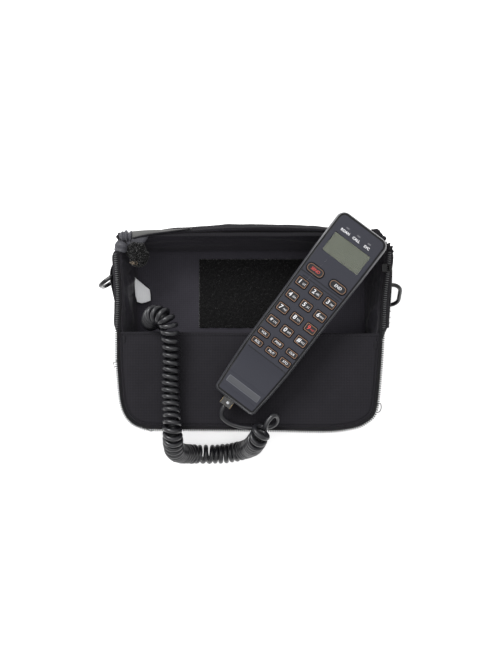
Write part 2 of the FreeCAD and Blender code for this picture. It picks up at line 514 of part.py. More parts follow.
LEAD = [tuple(pe), (-28.5, -75.2, 74.3), (-27.2, -82.0, 70.8), (-20.0, -87.4, 67.4), (-9.5, -90.6, 65.9), (3.0, -92.0, 65.7), (14.5, -90.4, 65.9),
        (22.5, -85.4, 67.4), (25.8, -78.5, 71.5), (23.5, -73.5, 77.5), (18.2, -76.0, 81.6), ce]
out("handset_lead", tube("handset_lead", LEAD, LEAD_D))

for n in sorted(made):
    s = made[n]
    bb = s.optimalBoundingBox(False, False)
    print("%-22s solids %d valid %s  x %.1f..%.1f y %.1f..%.1f z %.1f..%.1f" % (n, len(s.Solids), s.isValid(), bb.XMin, bb.XMax, bb.YMin, bb.YMax, bb.ZMin, bb.ZMax))
print(len(made), "nodes")
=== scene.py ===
import json
import math
import random

import bpy
import bmesh
import numpy as np
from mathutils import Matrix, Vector, noise
from mathutils.geometry import delaunay_2d_cdt

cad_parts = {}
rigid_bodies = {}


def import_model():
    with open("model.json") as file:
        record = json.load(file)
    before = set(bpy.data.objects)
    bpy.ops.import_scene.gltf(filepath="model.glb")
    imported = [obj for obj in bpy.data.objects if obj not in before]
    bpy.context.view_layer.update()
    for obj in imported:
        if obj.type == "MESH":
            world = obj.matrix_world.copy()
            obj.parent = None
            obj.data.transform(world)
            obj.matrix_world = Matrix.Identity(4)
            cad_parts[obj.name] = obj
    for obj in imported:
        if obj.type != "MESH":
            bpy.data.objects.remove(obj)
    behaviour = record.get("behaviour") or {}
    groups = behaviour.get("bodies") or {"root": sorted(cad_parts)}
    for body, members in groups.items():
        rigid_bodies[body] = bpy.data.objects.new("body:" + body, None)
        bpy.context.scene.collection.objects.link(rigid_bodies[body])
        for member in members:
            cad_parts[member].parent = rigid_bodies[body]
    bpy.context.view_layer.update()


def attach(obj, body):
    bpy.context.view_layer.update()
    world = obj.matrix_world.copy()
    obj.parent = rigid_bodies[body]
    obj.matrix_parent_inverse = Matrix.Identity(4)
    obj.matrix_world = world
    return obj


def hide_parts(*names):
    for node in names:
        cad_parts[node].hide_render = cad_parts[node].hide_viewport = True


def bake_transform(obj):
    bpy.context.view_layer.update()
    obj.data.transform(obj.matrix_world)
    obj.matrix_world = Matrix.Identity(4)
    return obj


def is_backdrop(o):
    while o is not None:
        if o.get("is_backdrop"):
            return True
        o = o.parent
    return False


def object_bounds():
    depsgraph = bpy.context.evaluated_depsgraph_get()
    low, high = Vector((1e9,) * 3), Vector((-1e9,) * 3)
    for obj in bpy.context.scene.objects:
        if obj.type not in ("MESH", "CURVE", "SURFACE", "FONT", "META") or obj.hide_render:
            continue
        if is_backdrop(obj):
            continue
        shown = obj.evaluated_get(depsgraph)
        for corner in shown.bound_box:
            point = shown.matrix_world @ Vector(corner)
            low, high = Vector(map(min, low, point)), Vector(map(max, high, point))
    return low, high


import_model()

scene = bpy.context.scene
random.seed(7)
MM = 0.001

# ------------------------------------------------------------------ camera: a metre above, looking almost straight down
FOCAL = 989.0
TILT = math.radians(2.605)
CAM = (0.0, -46.5, 1000.0)
cam_data = bpy.data.cameras.new("camera")
cam_data.sensor_width = 36.0
cam_data.lens = FOCAL / 670.0 * 36.0
cam_data.clip_start = 0.01
cam_data.clip_end = 20.0
cam = bpy.data.objects.new("camera", cam_data)
cam.location = (CAM[0] * MM, CAM[1] * MM, CAM[2] * MM)
cam.rotation_euler = (TILT, 0.0, 0.0)
scene.collection.objects.link(cam)
scene.camera = cam


def P(px, py, z):
    """The point at height z (mm) that the camera sees at px, py."""
    dx, dy = (px - 251.0) / FOCAL, (335.0 - py) / FOCAL
    c, s = math.cos(TILT), math.sin(TILT)
    t = (CAM[2] - z) / (c - dy * s)
    return np.array((dx * t, CAM[1] + (dy * c + s) * t, z))


# ------------------------------------------------------------------ numbers shared with the frame, mm
HS = (44.6, 13.6, 61.6)
HS_TILT = math.radians(-37.2)


def H(v):
    """Handset's own axes to the frame's."""
    v = np.asarray(v, float)
    c, s = math.cos(HS_TILT), math.sin(HS_TILT)
    return np.stack([HS[0] + v[:, 0] * c - v[:, 1] * s, HS[1] + v[:, 0] * s + v[:, 1] * c, HS[2] + v[:, 2]], 1)


# ------------------------------------------------------------------ materials
def new_mat(name):
    m = bpy.data.materials.new(name)
    m.use_nodes = True
    nt = m.node_tree
    for n in list(nt.nodes):
        if n.type != "OUTPUT_MATERIAL":
            nt.nodes.remove(n)
    out = next(n for n in nt.nodes if n.type == "OUTPUT_MATERIAL")
    b = nt.nodes.new("ShaderNodeBsdfPrincipled")
    nt.links.new(b.outputs[0], out.inputs[0])
    return m, nt, b


def node(nt, kind, **kw):
    n = nt.nodes.new(kind)
    for k, v in kw.items():
        if k in n.inputs.keys():
            n.inputs[k].default_value = v
        else:
            setattr(n, k, v)
    return n


def math_node(nt, op, a, b=None):
    n = nt.nodes.new("ShaderNodeMath")
    n.operation = op
    for i, x in enumerate((a, b)):
        if x is None:
            continue
        if isinstance(x, (int, float)):
            n.inputs[i].default_value = x
        else:
            nt.links.new(x, n.inputs[i])
    return n.outputs[0]


def ramp(nt, fac, stops):
    r = nt.nodes.new("ShaderNodeValToRGB")
    e = r.color_ramp.elements
    while len(e) < len(stops):
        e.new(0.5)
    for i, (p, c) in enumerate(stops):
        e[i].position = p
        e[i].color = (*c, 1.0)
    nt.links.new(fac, r.inputs[0])
    return r.outputs[0]


def scaled(c, k):
    return tuple(min(1.0, x * k) for x in c)


def fabric(name, col, period=1.15, bump=0.35, rough=0.86, sheen=0.12, var=0.20, distort=0.6, spec=0.25):
    """Plain weave: fine ribs along all three axes, blotchy colour, and a little lint."""
    m, nt, b = new_mat(name)
    tc = node(nt, "ShaderNodeTexCoord")
    k = 1000.0 / period * 0.5 / math.pi * 0.31831 * math.pi * 2
    waves = []
    for d in "XYZ":
        w = node(nt, "ShaderNodeTexWave", wave_type="BANDS", bands_direction=d, wave_profile="SIN", Scale=1000.0 / period / 20.0 * math.pi, Distortion=distort, Detail=1.0)
        w.inputs["Detail Scale"].default_value = 2.0
        nt.links.new(tc.outputs["Object"], w.inputs["Vector"])
        waves.append(w.outputs["Fac"])
    s = math_node(nt, "ADD", math_node(nt, "ADD", waves[0], waves[1]), waves[2])
    weave = math_node(nt, "MULTIPLY", s, 0.333)
    big = node(nt, "ShaderNodeTexNoise", Scale=38.0, Detail=4.0, Roughness=0.6)
    nt.links.new(tc.outputs["Object"], big.inputs["Vector"])
    fine = node(nt, "ShaderNodeTexNoise", Scale=900.0, Detail=3.0, Roughness=0.7)
    nt.links.new(tc.outputs["Object"], fine.inputs["Vector"])
    mixf = math_node(nt, "ADD", math_node(nt, "MULTIPLY", weave, 0.45), math_node(nt, "ADD", math_node(nt, "MULTIPLY", fine.outputs["Fac"], 0.35), math_node(nt, "MULTIPLY", big.outputs["Fac"], 0.35)))
    colour = ramp(nt, mixf, [(0.30, scaled(col, 1 - var)), (0.58, col), (0.86, scaled(col, 1 + var * 1.3))])
    nt.links.new(colour, b.inputs["Base Color"])
    bump_h = math_node(nt, "ADD", math_node(nt, "MULTIPLY", weave, 1.0), math_node(nt, "MULTIPLY", fine.outputs["Fac"], 0.8))
    bn = node(nt, "ShaderNodeBump", Strength=bump, Distance=0.00035)
    nt.links.new(bump_h, bn.inputs["Height"])
    nt.links.new(bn.outputs[0], b.inputs["Normal"])
    b.inputs["Roughness"].default_value = rough
    b.inputs["Specular IOR Level"].default_value = spec
    b.inputs["Sheen Weight"].default_value = sheen
    b.inputs["Sheen Roughness"].default_value = 0.45
    return m


def plastic(name, col, rough=0.45, grain=0.12, scale=1400.0, var=0.12, spec=0.5, coat=0.0, metallic=0.0, wear=0.0):
    """Moulded plastic or painted metal: fine grain in bump and gloss, faint smudges in colour."""
    m, nt, b = new_mat(name)
    tc = node(nt, "ShaderNodeTexCoord")
    fine = node(nt, "ShaderNodeTexNoise", Scale=scale, Detail=2.0, Roughness=0.6)
    nt.links.new(tc.outputs["Object"], fine.inputs["Vector"])
    big = node(nt, "ShaderNodeTexNoise", Scale=45.0, Detail=3.0, Roughness=0.55)
    nt.links.new(tc.outputs["Object"], big.inputs["Vector"])
    f = math_node(nt, "ADD", math_node(nt, "MULTIPLY", fine.outputs["Fac"], 0.4), math_node(nt, "MULTIPLY", big.outputs["Fac"], 0.6))
    colour = ramp(nt, f, [(0.3, scaled(col, 1 - var)), (0.7, scaled(col, 1 + var))])
    nt.links.new(colour, b.inputs["Base Color"])
    r = ramp(nt, big.outputs["Fac"], [(0.3, (rough * 0.88,) * 3), (0.75, (min(1, rough * 1.15),) * 3)])
    nt.links.new(r, b.inputs["Roughness"])
    bn = node(nt, "ShaderNodeBump", Strength=grain, Distance=0.0002)
    nt.links.new(fine.outputs["Fac"], bn.inputs["Height"])
    nt.links.new(bn.outputs[0], b.inputs["Normal"])
    b.inputs["Specular IOR Level"].default_value = spec
    b.inputs["Metallic"].default_value = metallic
    if coat:
        b.inputs["Coat Weight"].default_value = coat
        b.inputs["Coat Roughness"].default_value = 0.25
    return m


def fuzz(name, col, speck):
    """Looped pile: coarse clumps, bright specks, deep shadow between."""
    m, nt, b = new_mat(name)
    tc = node(nt, "ShaderNodeTexCoord")
    v = node(nt, "ShaderNodeTexVoronoi", Scale=720.0)
    nt.links.new(tc.outputs["Object"], v.inputs["Vector"])
    n = node(nt, "ShaderNodeTexNoise", Scale=420.0, Detail=6.0, Roughness=0.75)
    nt.links.new(tc.outputs["Object"], n.inputs["Vector"])
    f = math_node(nt, "MULTIPLY", n.outputs["Fac"], math_node(nt, "SUBTRACT", 1.25, v.outputs["Distance"]))
    colour = ramp(nt, f, [(0.38, scaled(col, 0.45)), (0.58, col), (0.74, speck)])
    nt.links.new(colour, b.inputs["Base Color"])
    bn = node(nt, "ShaderNodeBump", Strength=0.9, Distance=0.0012)
    nt.links.new(f, bn.inputs["Height"])
    nt.links.new(bn.outputs[0], b.inputs["Normal"])
    b.inputs["Roughness"].default_value = 0.95
    b.inputs["Specular IOR Level"].default_value = 0.15
    b.inputs["Sheen Weight"].default_value = 0.25
    return m


def glassy(name, col, rough=0.12, ior=1.5, transmission=0.85):
    m, nt, b = new_mat(name)
    tc = node(nt, "ShaderNodeTexCoord")
    n = node(nt, "ShaderNodeTexNoise", Scale=260.0, Detail=2.0)
    nt.links.new(tc.outputs["Object"], n.inputs["Vector"])
    colour = ramp(nt, n.outputs["Fac"], [(0.3, scaled(col, 0.92)), (0.7, col)])
    nt.links.new(colour, b.inputs["Base Color"])
    r = ramp(nt, n.outputs["Fac"], [(0.3, (rough * 0.8,) * 3), (0.7, (rough * 1.3,) * 3)])
    nt.links.new(r, b.inputs["Roughness"])
    b.inputs["IOR"].default_value = ior
    b.inputs["Transmission Weight"].default_value = transmission
    return m


M = {
    "panel": fabric("cloth_panel", (0.0188, 0.0178, 0.0213), period=1.3, bump=0.45, sheen=0.03, spec=0.12),
    "lining": fabric("cloth_lining", (0.0345, 0.0322, 0.0410), period=1.0, bump=0.22, rough=0.55, sheen=0.06, spec=0.38),
    "outer": fabric("cloth_outer", (0.0150, 0.0142, 0.0168), period=1.4, bump=0.5, sheen=0.03, spec=0.15),
    "floorcloth": fabric("cloth_back", (0.0410, 0.0386, 0.0480), period=1.0, bump=0.25, rough=0.75, sheen=0.03, spec=0.12),
    "tape": fabric("tape_weave", (0.0120, 0.0116, 0.0134), period=0.9, bump=0.35, rough=0.75, sheen=0.03, spec=0.15),
    "web": fabric("webbing_weave", (0.0230, 0.0220, 0.0260), period=1.6, bump=0.6, rough=0.7, sheen=0.04, spec=0.2),
    "thread": fabric("thread", (0.0240, 0.0230, 0.0270), period=0.5, bump=0.3, rough=0.6, sheen=0.03, spec=0.2),
    # the cover's light grey is painted highlight: the same dark outer cloth, lit at a grazing angle
    "cover": fabric("cover_cloth_painted_highlight", (0.125, 0.125, 0.122), period=0.8, bump=0.25, rough=0.7, sheen=0.04, var=0.10),
    "satin": fabric("satin_ribbon", (0.060, 0.060, 0.070), period=0.9, bump=0.6, rough=0.45, sheen=0.05, var=0.22, spec=0.35),
    "label": fabric("label_satin", (0.93, 0.94, 0.96), period=0.6, bump=0.12, rough=0.5, var=0.05),
    "fuzz": fuzz("loop_pile", (0.0062, 0.0060, 0.0064), (0.022, 0.021, 0.023)),
    "tan": fabric("tan_fibre", (0.38, 0.30, 0.22), period=0.5, bump=0.2),
    # the first teeth colour below is a painted highlight for teeth that catch the light; the dark one is the teeth's
    # own colour
    "teeth": plastic("zip_teeth", (0.085, 0.087, 0.090), rough=0.4, grain=0.1, coat=0.2),
    "teeth_dark": plastic("zip_teeth_dark", (0.022, 0.022, 0.024), rough=0.45, grain=0.1, coat=0.1),
    "teeth_dark": plastic("zip_teeth_dark", (0.018, 0.018, 0.019), rough=0.35, grain=0.1),
    "zipmetal": plastic("zip_paint", (0.004, 0.004, 0.0045), rough=0.4, grain=0.1, spec=0.3),
    "ring": plastic("ring_black", (0.006, 0.006, 0.0072), rough=0.28, grain=0.06, coat=0.25),
    "cord": plastic("cord_jacket", (0.0150, 0.0150, 0.0180), rough=0.31, grain=0.08, scale=900.0, spec=0.65),
    "shell": plastic("handset_shell", (0.0380, 0.0390, 0.0505), rough=0.60, grain=0.22, scale=1500.0, var=0.07, spec=0.22),
    # rim: lighter copy of the shell colour, a painted highlight on the bevel
    "rim": plastic("handset_rim_painted_highlight", (0.052, 0.052, 0.058), rough=0.38, grain=0.15, scale=1500.0, var=0.07),
    # near-black groove colour: painted shade in the face's grooves, the step by the rim and the deep hole walls
    "groove": plastic("handset_groove_painted_shade", (0.005, 0.005, 0.006), rough=0.6, grain=0.1),
    "keycap": plastic("key_cap", (0.0125, 0.0125, 0.015), rough=0.5, spec=0.35, grain=0.12, var=0.08),
    "keyline": plastic("key_outline", (0.230, 0.118, 0.062), rough=0.45, grain=0.1, var=0.25),
    "white": plastic("print_white", (0.80, 0.80, 0.82), rough=0.5, grain=0.05, var=0.05),
    "red": plastic("print_red", (0.62, 0.060, 0.050), rough=0.5, grain=0.05, var=0.08),
    "led": plastic("indicator_lens", (0.115, 0.115, 0.130), rough=0.25, grain=0.05),
    "lcd": plastic("display_cell", (0.032, 0.036, 0.019), rough=0.35, grain=0.08, scale=600.0, var=0.10),
    "badge": plastic("badge_plate", (0.052, 0.054, 0.064), rough=0.30, grain=0.08, var=0.06),
    "badge_line": plastic("badge_line", (0.115, 0.120, 0.140), rough=0.35, grain=0.05),
    "case": plastic("radio_case", (0.030, 0.030, 0.033), rough=0.55, grain=0.3, scale=800.0),
    "pcb": plastic("circuit_board", (0.020, 0.090, 0.040), rough=0.4, grain=0.2),
    "socket": plastic("socket_black", (0.018, 0.018, 0.018), rough=0.5, grain=0.2),
    "screw": plastic("screw_steel", (0.45, 0.45, 0.46), rough=0.3, grain=0.2, metallic=1.0),
    "gold": plastic("contact_gold", (0.50, 0.34, 0.14), rough=0.38, grain=0.1, metallic=0.8),
    "rubber": plastic("keypad_rubber", (0.030, 0.030, 0.030), rough=0.75, grain=0.3),
    "clear": glassy("plug_clear", (0.060, 0.056, 0.052), rough=0.12, ior=1.5, transmission=0.55),
    # the latch's light grey is a painted glint on the clear plug
    "latch": plastic("plug_latch", (0.50, 0.51, 0.53), rough=0.3, grain=0.05, coat=0.3),
    "window": glassy("display_window", (0.70, 0.75, 0.60), rough=0.06, ior=1.49, transmission=0.96),
    "board": plastic("stiff_board", (0.030, 0.030, 0.030), rough=0.8, grain=0.3),
}


# ------------------------------------------------------------------ mesh helpers (all in mm)
def make(name, verts, faces, mats, body=None, slot=None, stands_for=(), fmat=None, sharp=None, merge=0.0):
    me = bpy.data.meshes.new(name)
    me.from_pydata([tuple(p) for p in (np.asarray(verts, float) * MM)], [], [tuple(int(i) for i in f) for f in faces])
    for m in mats if isinstance(mats, (list, tuple)) else [mats]:
        me.materials.append(M[m])
    if fmat is not None:
        me.polygons.foreach_set("material_index", [int(i) for i in fmat])
    bm = bmesh.new()
    bm.from_mesh(me)
    if merge:
        bmesh.ops.remove_doubles(bm, verts=bm.verts, dist=merge * MM)
    loose = [v for v in bm.verts if not v.link_faces]
    if loose:
        bmesh.ops.delete(bm, geom=loose, context="VERTS")
    bmesh.ops.recalc_face_normals(bm, faces=bm.faces)
    bm.to_mesh(me)
    bm.free()
    me.polygons.foreach_set("use_smooth", [True] * len(me.polygons))
    if sharp:
        me.set_sharp_from_angle(angle=math.radians(sharp))
    me.update()
    ob = bpy.data.objects.new(name, me)
    scene.collection.objects.link(ob)
    if stands_for:
        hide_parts(*stands_for)
    if body:
        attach(ob, body)
    return ob


def join(parts):
    """[(verts, faces, material index)] into one set of arrays."""
    vs, fs, ms, n = [], [], [], 0
    for v, f, m in parts:
        vs.append(np.asarray(v, float))
        fs += [tuple(i + n for i in q) for q in f]
        ms += [m] * len(f)
        n += len(v)
    return np.concatenate(vs), fs, ms


def catmull(pts, per=16, closed=False):
    p = np.asarray(pts, float)
    n = len(p)
    out = []
    rng = range(n if closed else n - 1)
    for i in rng:
        p0 = p[(i - 1) % n] if closed or i > 0 else 2 * p[0] - p[1]
        p1, p2 = p[i], p[(i + 1) % n]
        p3 = p[(i + 2) % n] if closed or i + 2 < n else 2 * p[-1] - p[-2]
        for t in np.linspace(0, 1, per, endpoint=False):
            out.append(0.5 * ((2 * p1) + (-p0 + p2) * t + (2 * p0 - 5 * p1 + 4 * p2 - p3) * t * t + (-p0 + 3 * p1 - 3 * p2 + p3) * t ** 3))
    if not closed:
        out.append(p[-1])
    return np.array(out)


def resample(line, n, closed=False):
    q = np.vstack([line, line[:1]]) if closed else np.asarray(line)
    d = np.concatenate([[0], np.cumsum(np.linalg.norm(np.diff(q, axis=0), axis=1))])
    s = np.linspace(0, d[-1], n, endpoint=not closed)
    return np.stack([np.interp(s, d, q[:, k]) for k in range(q.shape[1])], 1)


def length_of(line):
    return float(np.linalg.norm(np.diff(line, axis=0), axis=1).sum())


def frames(path, closed=False, up=None):
    """Tangents and a parallel-carried normal pair along the path."""
    p = np.asarray(path, float)
    if closed:
        t = np.roll(p, -1, 0) - np.roll(p, 1, 0)
    else:
        t = np.gradient(p, axis=0)
    t /= np.linalg.norm(t, axis=1)[:, None] + 1e-12
    a = np.array(up if up is not None else (0, 0, 1.0), float)
    if abs(a @ t[0]) > 0.95:
        a = np.array((1.0, 0, 0))
    n = np.zeros_like(p)
    cur = a - (a @ t[0]) * t[0]
    cur /= np.linalg.norm(cur)
    for i in range(len(p)):
        cur = cur - (cur @ t[i]) * t[i]
        cur /= np.linalg.norm(cur)
        n[i] = cur
    return t, n, np.cross(t, n)


def sweep(path, radius, sides=12, closed=False, caps=True, flat=1.0, up=None):
    """Tube along a path; radius may vary; flat squeezes it along the carried normal."""
    p = np.asarray(path, float)
    r = np.broadcast_to(np.asarray(radius, float), (len(p),))
    t, n, b = frames(p, closed, up)
    if closed:  # spread the closing twist
        ang = math.atan2(float(np.dot(np.cross(n[-1], n[0]), t[0])), float(np.dot(n[-1], n[0])))
        w = np.linspace(0, 1, len(p))[:, None] * ang
        n, b = n * np.cos(w) + b * np.sin(w), b * np.cos(w) - n * np.sin(w)
    a = np.arange(sides) / sides * 2 * math.pi
    v = (p[:, None, :] + r[:, None, None] * (flat * np.cos(a)[None, :, None] * n[:, None, :] + np.sin(a)[None, :, None] * b[:, None, :])).reshape(-1, 3)
    f = []
    m = len(p)
    for i in range(m if closed else m - 1):
        j = (i + 1) % m
        for k in range(sides):
            l = (k + 1) % sides
            f.append((i * sides + k, i * sides + l, j * sides + l, j * sides + k))
    if caps and not closed:
        c0, c1 = len(v), len(v) + 1
        v = np.vstack([v, p[0] - t[0] * r[0] * 0.35, p[-1] + t[-1] * r[-1] * 0.35])
        for k in range(sides):
            l = (k + 1) % sides
            f.append((c0, l, k))
            f.append((c1, (m - 1) * sides + k, (m - 1) * sides + l))
    return v, f


def ribbon(path, width_dir, width, thick, rows=6, roll=None):
    """Flat strip along path (n,3), its width along width_dir (n,3), both faces and edges."""
    p = np.asarray(path, float)
    w = np.asarray(width_dir, float)
    if w.ndim == 1:
        w = np.repeat(w[None], len(p), 0)
    w = w / np.linalg.norm(w, axis=1)[:, None]
    t = np.gradient(p, axis=0)
    t /= np.linalg.norm(t, axis=1)[:, None] + 1e-12
    n = np.cross(t, w)
    n /= np.linalg.norm(n, axis=1)[:, None] + 1e-12
    width = np.broadcast_to(np.asarray(width, float), (len(p),))
    ring = []
    ks = np.linspace(-0.5, 0.5, rows)
    for k in ks:
        ring.append((k, 0.5))
    for k in ks[::-1]:
        ring.append((k, -0.5))
    rr = np.array(ring)
    edge = np.sqrt(np.clip(1 - (np.abs(rr[:, 0]) * 2) ** 8, 0.0, 1))
    v = p[:, None, :] + (rr[None, :, 0, None] * width[:, None, None]) * w[:, None, :] + (rr[None, :, 1, None] * edge[None, :, None] * thick) * n[:, None, :]
    m, s = len(p), len(rr)
    v = v.reshape(-1, 3)
    f = []
    for i in range(m - 1):
        for k in range(s):
            l = (k + 1) % s
            f.append((i * s + k, i * s + l, (i + 1) * s + l, (i + 1) * s + k))
    f.append(tuple(range(s))[::-1])
    f.append(tuple((m - 1) * s + k for k in range(s)))
    return v, f


def noise_at(p, scale, seed=0.0):
    return noise.noise(Vector((p[0] * scale + seed * 17.3, p[1] * scale + seed * 5.1, p[2] * scale - seed * 9.7)))


def fbm(pts, scale, seed=0.0, octaves=3, gain=0.5):
    out = np.zeros(len(pts))
    for i, p in enumerate(pts):
        a, s, t = 1.0, scale, 0.0
        for _ in range(octaves):
            t += a * noise_at(p, s, seed)
            a *= gain
            s *= 2.03
        out[i] = t
    return out


def seg_dist(pts, line, z_too=False):
    """Distance from each point to a polyline, and the nearest arclength fraction."""
    k = 3 if z_too else 2
    p = np.asarray(pts, float)[:, :k]
    l = np.asarray(line, float)[:, :k]
    best = np.full(len(p), 1e9)
    frac = np.zeros(len(p))
    side = np.zeros(len(p))
    cum = np.concatenate([[0], np.cumsum(np.linalg.norm(np.diff(l, axis=0), axis=1))])
    for i in range(len(l) - 1):
        a, b = l[i], l[i + 1]
        d = b - a
        t = np.clip(((p - a) @ d) / (d @ d + 1e-12), 0, 1)
        q = a + t[:, None] * d
        dist = np.linalg.norm(p - q, axis=1)
        better = dist < best
        best = np.where(better, dist, best)
        frac = np.where(better, (cum[i] + t * (cum[i + 1] - cum[i])) / cum[-1], frac)
        if k == 2:
            side = np.where(better, d[0] * (p[:, 1] - q[:, 1]) - d[1] * (p[:, 0] - q[:, 0]), side)
    return best, frac, side


def smooth01(x):
    x = np.clip(x, 0, 1)
    return x * x * (3 - 2 * x)


def bar(name, *a, **k):
    return make(name, *a, **k)


# ------------------------------------------------------------------ cord
COIL = [
    (-96.6, 8.6, 47.0), (-95.8, 11.0, 62.0), (-90.6, 16.0, 77.5), (-79.0, 12.0, 81.5), (-75.6, -0.5, 77.0), (-75.0, -17.0, 72.4),
    (-74.8, -35.0, 71.4), (-76.0, -53.0, 71.0), (-74.6, -73.0, 72.0), (-73.2, -94.0, 77.5), (-73.4, -112.6, 59.0),
    (-70.4, -117.6, 36.0), (-60.0, -119.6, 16.5), (-44.0, -120.4, 10.8), (-25.0, -120.0, 10.4), (-7.0, -116.0, 15.8),
    (0.6, -111.5, 36.0), (3.0, -107.6, 57.0), (6.8, -100.6, 77.2), (12.5, -89.0, 80.0),
]
RADIO_LEAD = [(-84.0, -8.0, 38.0), (-84.0, -1.5, 38.0), (-88.0, 5.2, 34.6), (-96.2, 9.2, 33.6), (-100.6, 9.6, 38.2), COIL[0]]
PLUG_EXIT = tuple(H([(-4.5, -108.95, 12.9)])[0])
HANDSET_LEAD = [PLUG_EXIT, (-28.5, -75.2, 74.3), (-27.2, -82.0, 70.8), (-20.0, -87.4, 67.4), (-9.5, -90.6, 65.9), (3.0, -92.0, 65.7), (14.5, -91.2, 66.2),
                (21.6, -89.4, 67.6), (25.2, -84.6, 71.5), (24.2, -79.0, 77.2), (18.4, -79.6, 81.4), COIL[-1]]
WIRE = 4.6
TURN_R = 6.9


def spline(points, res=24):
    """Points along the smooth line that the route's points control."""
    cu = bpy.data.curves.new("route", "CURVE")
    cu.dimensions = "3D"
    sp = cu.splines.new("NURBS")
    sp.points.add(len(points) - 1)
    for q, p in zip(sp.points, points):
        q.co = (p[0] * MM, p[1] * MM, p[2] * MM, 1.0)
    sp.order_u = 3
    sp.use_endpoint_u = True
    sp.resolution_u = res
    ob = bpy.data.objects.new("route", cu)
    me = bpy.data.meshes.new_from_object(ob)
    line = np.array([v.co for v in me.vertices]) / MM
    bpy.data.objects.remove(ob)
    bpy.data.meshes.remove(me)
    bpy.data.curves.remove(cu)
    return line


axis = resample(spline(COIL), 900)
ax_len = length_of(axis)
pitch_at = [4.5, 4.5, 4.5, 5.0, 7.8, 7.4, 6.6, 6.3, 6.1, 5.9, 5.2, 5.0, 5.1, 5.2, 5.15, 5.1, 5.1, 5.8, 7.4, 7.8]
ctrl = np.array(COIL)
near = [int(np.argmin(np.linalg.norm(axis - c, axis=1))) for c in ctrl]
pitch = np.interp(np.arange(900), near, pitch_at)
gap_at = int(np.argmin(np.linalg.norm(axis - P(199.5, 452, 11), axis=1)))
gap_b = int(np.argmin(np.linalg.norm(axis - P(208.5, 452, 11), axis=1)))
for g, amp in ((gap_at, 3.4), (gap_b, 3.6)):
    pitch += amp * np.exp(-((np.arange(900) - g) / 5.0) ** 2)
tan = np.gradient(axis, axis=0)
tan /= np.linalg.norm(tan, axis=1)[:, None]
step = ax_len / 899
curv = np.linalg.norm(np.gradient(tan, axis=0), axis=1) / step
curv = np.convolve(np.pad(curv, 12, mode="edge"), np.ones(25) / 25, "valid")
pitch = np.maximum(pitch, np.minimum(4.6 / np.maximum(1 - TURN_R * curv, 0.45), 5.6 - 1.0 * (np.arange(900) < near[4])))
phase = np.concatenate([[0], np.cumsum(2 * math.pi * step / ((pitch[1:] + pitch[:-1]) / 2))])
turns = phase[-1] / (2 * math.pi)
n_pts = int(turns * 20)
ph = np.linspace(0, phase[-1], n_pts)
si = np.interp(ph, phase, np.arange(900))
ax = np.stack([np.interp(si, np.arange(900), axis[:, k]) for k in range(3)], 1)
t_, n_, b_ = frames(axis, up=(0, 0, 1))
nn = np.stack([np.interp(si, np.arange(900), n_[:, k]) for k in range(3)], 1)
bb = np.stack([np.interp(si, np.arange(900), b_[:, k]) for k in range(3)], 1)
ends = np.clip(np.minimum(ph, phase[-1] - ph) / (2 * math.pi * 0.6), 0, 1)
rad = TURN_R * (0.06 + 0.94 * smooth01(ends))
rad = rad * (1 + 0.10 * smooth01((si - near[8]) / max(1, near[10] - near[8])))
rad = rad * (1 + 0.02 * np.sin(ph * 0.37) + 0.02 * np.sin(ph * 0.113 + 1.0))
PH0 = 0.4
helix = ax + rad[:, None] * (np.cos(-ph - PH0)[:, None] * nn + np.sin(-ph - PH0)[:, None] * bb)
rl = spline(RADIO_LEAD)
hl = spline(HANDSET_LEAD)
rl = resample(rl, max(8, int(length_of(rl) / 1.6)))
hl = resample(hl, max(8, int(length_of(hl) / 1.6)))[::-1]
wire_path = np.vstack([rl[:-1], helix, hl[1:]])
keep_ = np.concatenate([[True], np.linalg.norm(np.diff(wire_path, axis=0), axis=1) > 0.05])
wire_path = wire_path[keep_]
wire_path = resample(wire_path, int(length_of(wire_path) / 1.15))
joins = [int(np.argmin(np.linalg.norm(wire_path - q, axis=1))) for q in (rl[-1], hl[0])]
for _ in range(14):  # ease the two joins
    w2 = wire_path.copy()
    for c in joins:
        lo, hi = max(1, c - 9), min(len(wire_path) - 1, c + 10)
        w2[lo:hi] = (wire_path[lo - 1:hi - 1] + 2 * wire_path[lo:hi] + wire_path[lo + 1:hi + 1]) / 4
    wire_path = w2
for _ in range(2):
    wire_path[1:-1] = (wire_path[:-2] + 4 * wire_path[1:-1] + wire_path[2:]) / 6
v, f = sweep(wire_path, WIRE / 2, sides=12)
cord = make("curly_cord", v, f, "cord", slot="cord_jacket", stands_for=("cord_coil", "radio_lead", "handset_lead"))
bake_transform(cord)


def px_of(p):
    """Where the camera sees points (n,3) in mm."""
    p = np.asarray(p, float)
    c, s = math.cos(TILT), math.sin(TILT)
    x, y, z = p[:, 0] - CAM[0], p[:, 1] - CAM[1], p[:, 2] - CAM[2]
    yl, zl = c * y + s * z, -s * y + c * z
    return np.stack([251.0 + FOCAL * x / -zl, 335.0 - FOCAL * yl / -zl], 1)


# ------------------------------------------------------------------ bag: outline of its rim
TEETH_PX = [(116.0, 254.2), (117.0, 270), (118.0, 285), (118.4, 300), (117.9, 315), (117.3, 330), (117.2, 350), (117.4, 362), (118.0, 372), (119.9, 394.5),
            (122.0, 406.5), (126.2, 416.2), (133.3, 423.7), (141.2, 427.0), (150.3, 428.7), (200, 429.2), (250, 429.5), (275, 429.8), (316, 430.7), (336.5, 430.2),
            (356.5, 426.8), (366.4, 421.9), (373.4, 415.8), (376.5, 407), (378.5, 391), (381.0, 360.5), (382.2, 340), (382.8, 330), (383.3, 325), (384.6, 296),
            (387, 275), (389, 252.5)]
TOP_PX = [(386.5, 246), (382, 240.5), (376, 237), (368, 234.5), (345, 231), (320, 229), (300, 228), (270, 227), (240, 227.5), (210, 229), (180, 231), (165, 232.1),
          (152.9, 233.75), (142.5, 235.8), (133.8, 238.0), (126, 241.5), (119.5, 246.5)]
teeth_xy = np.array([P(x, y, 61.0)[:2] for x, y in TEETH_PX])
top_xy = np.array([P(x, y, 60.5)[:2] for x, y in TOP_PX])
teeth_line = resample(catmull(teeth_xy, 12), 900)
NR = 520


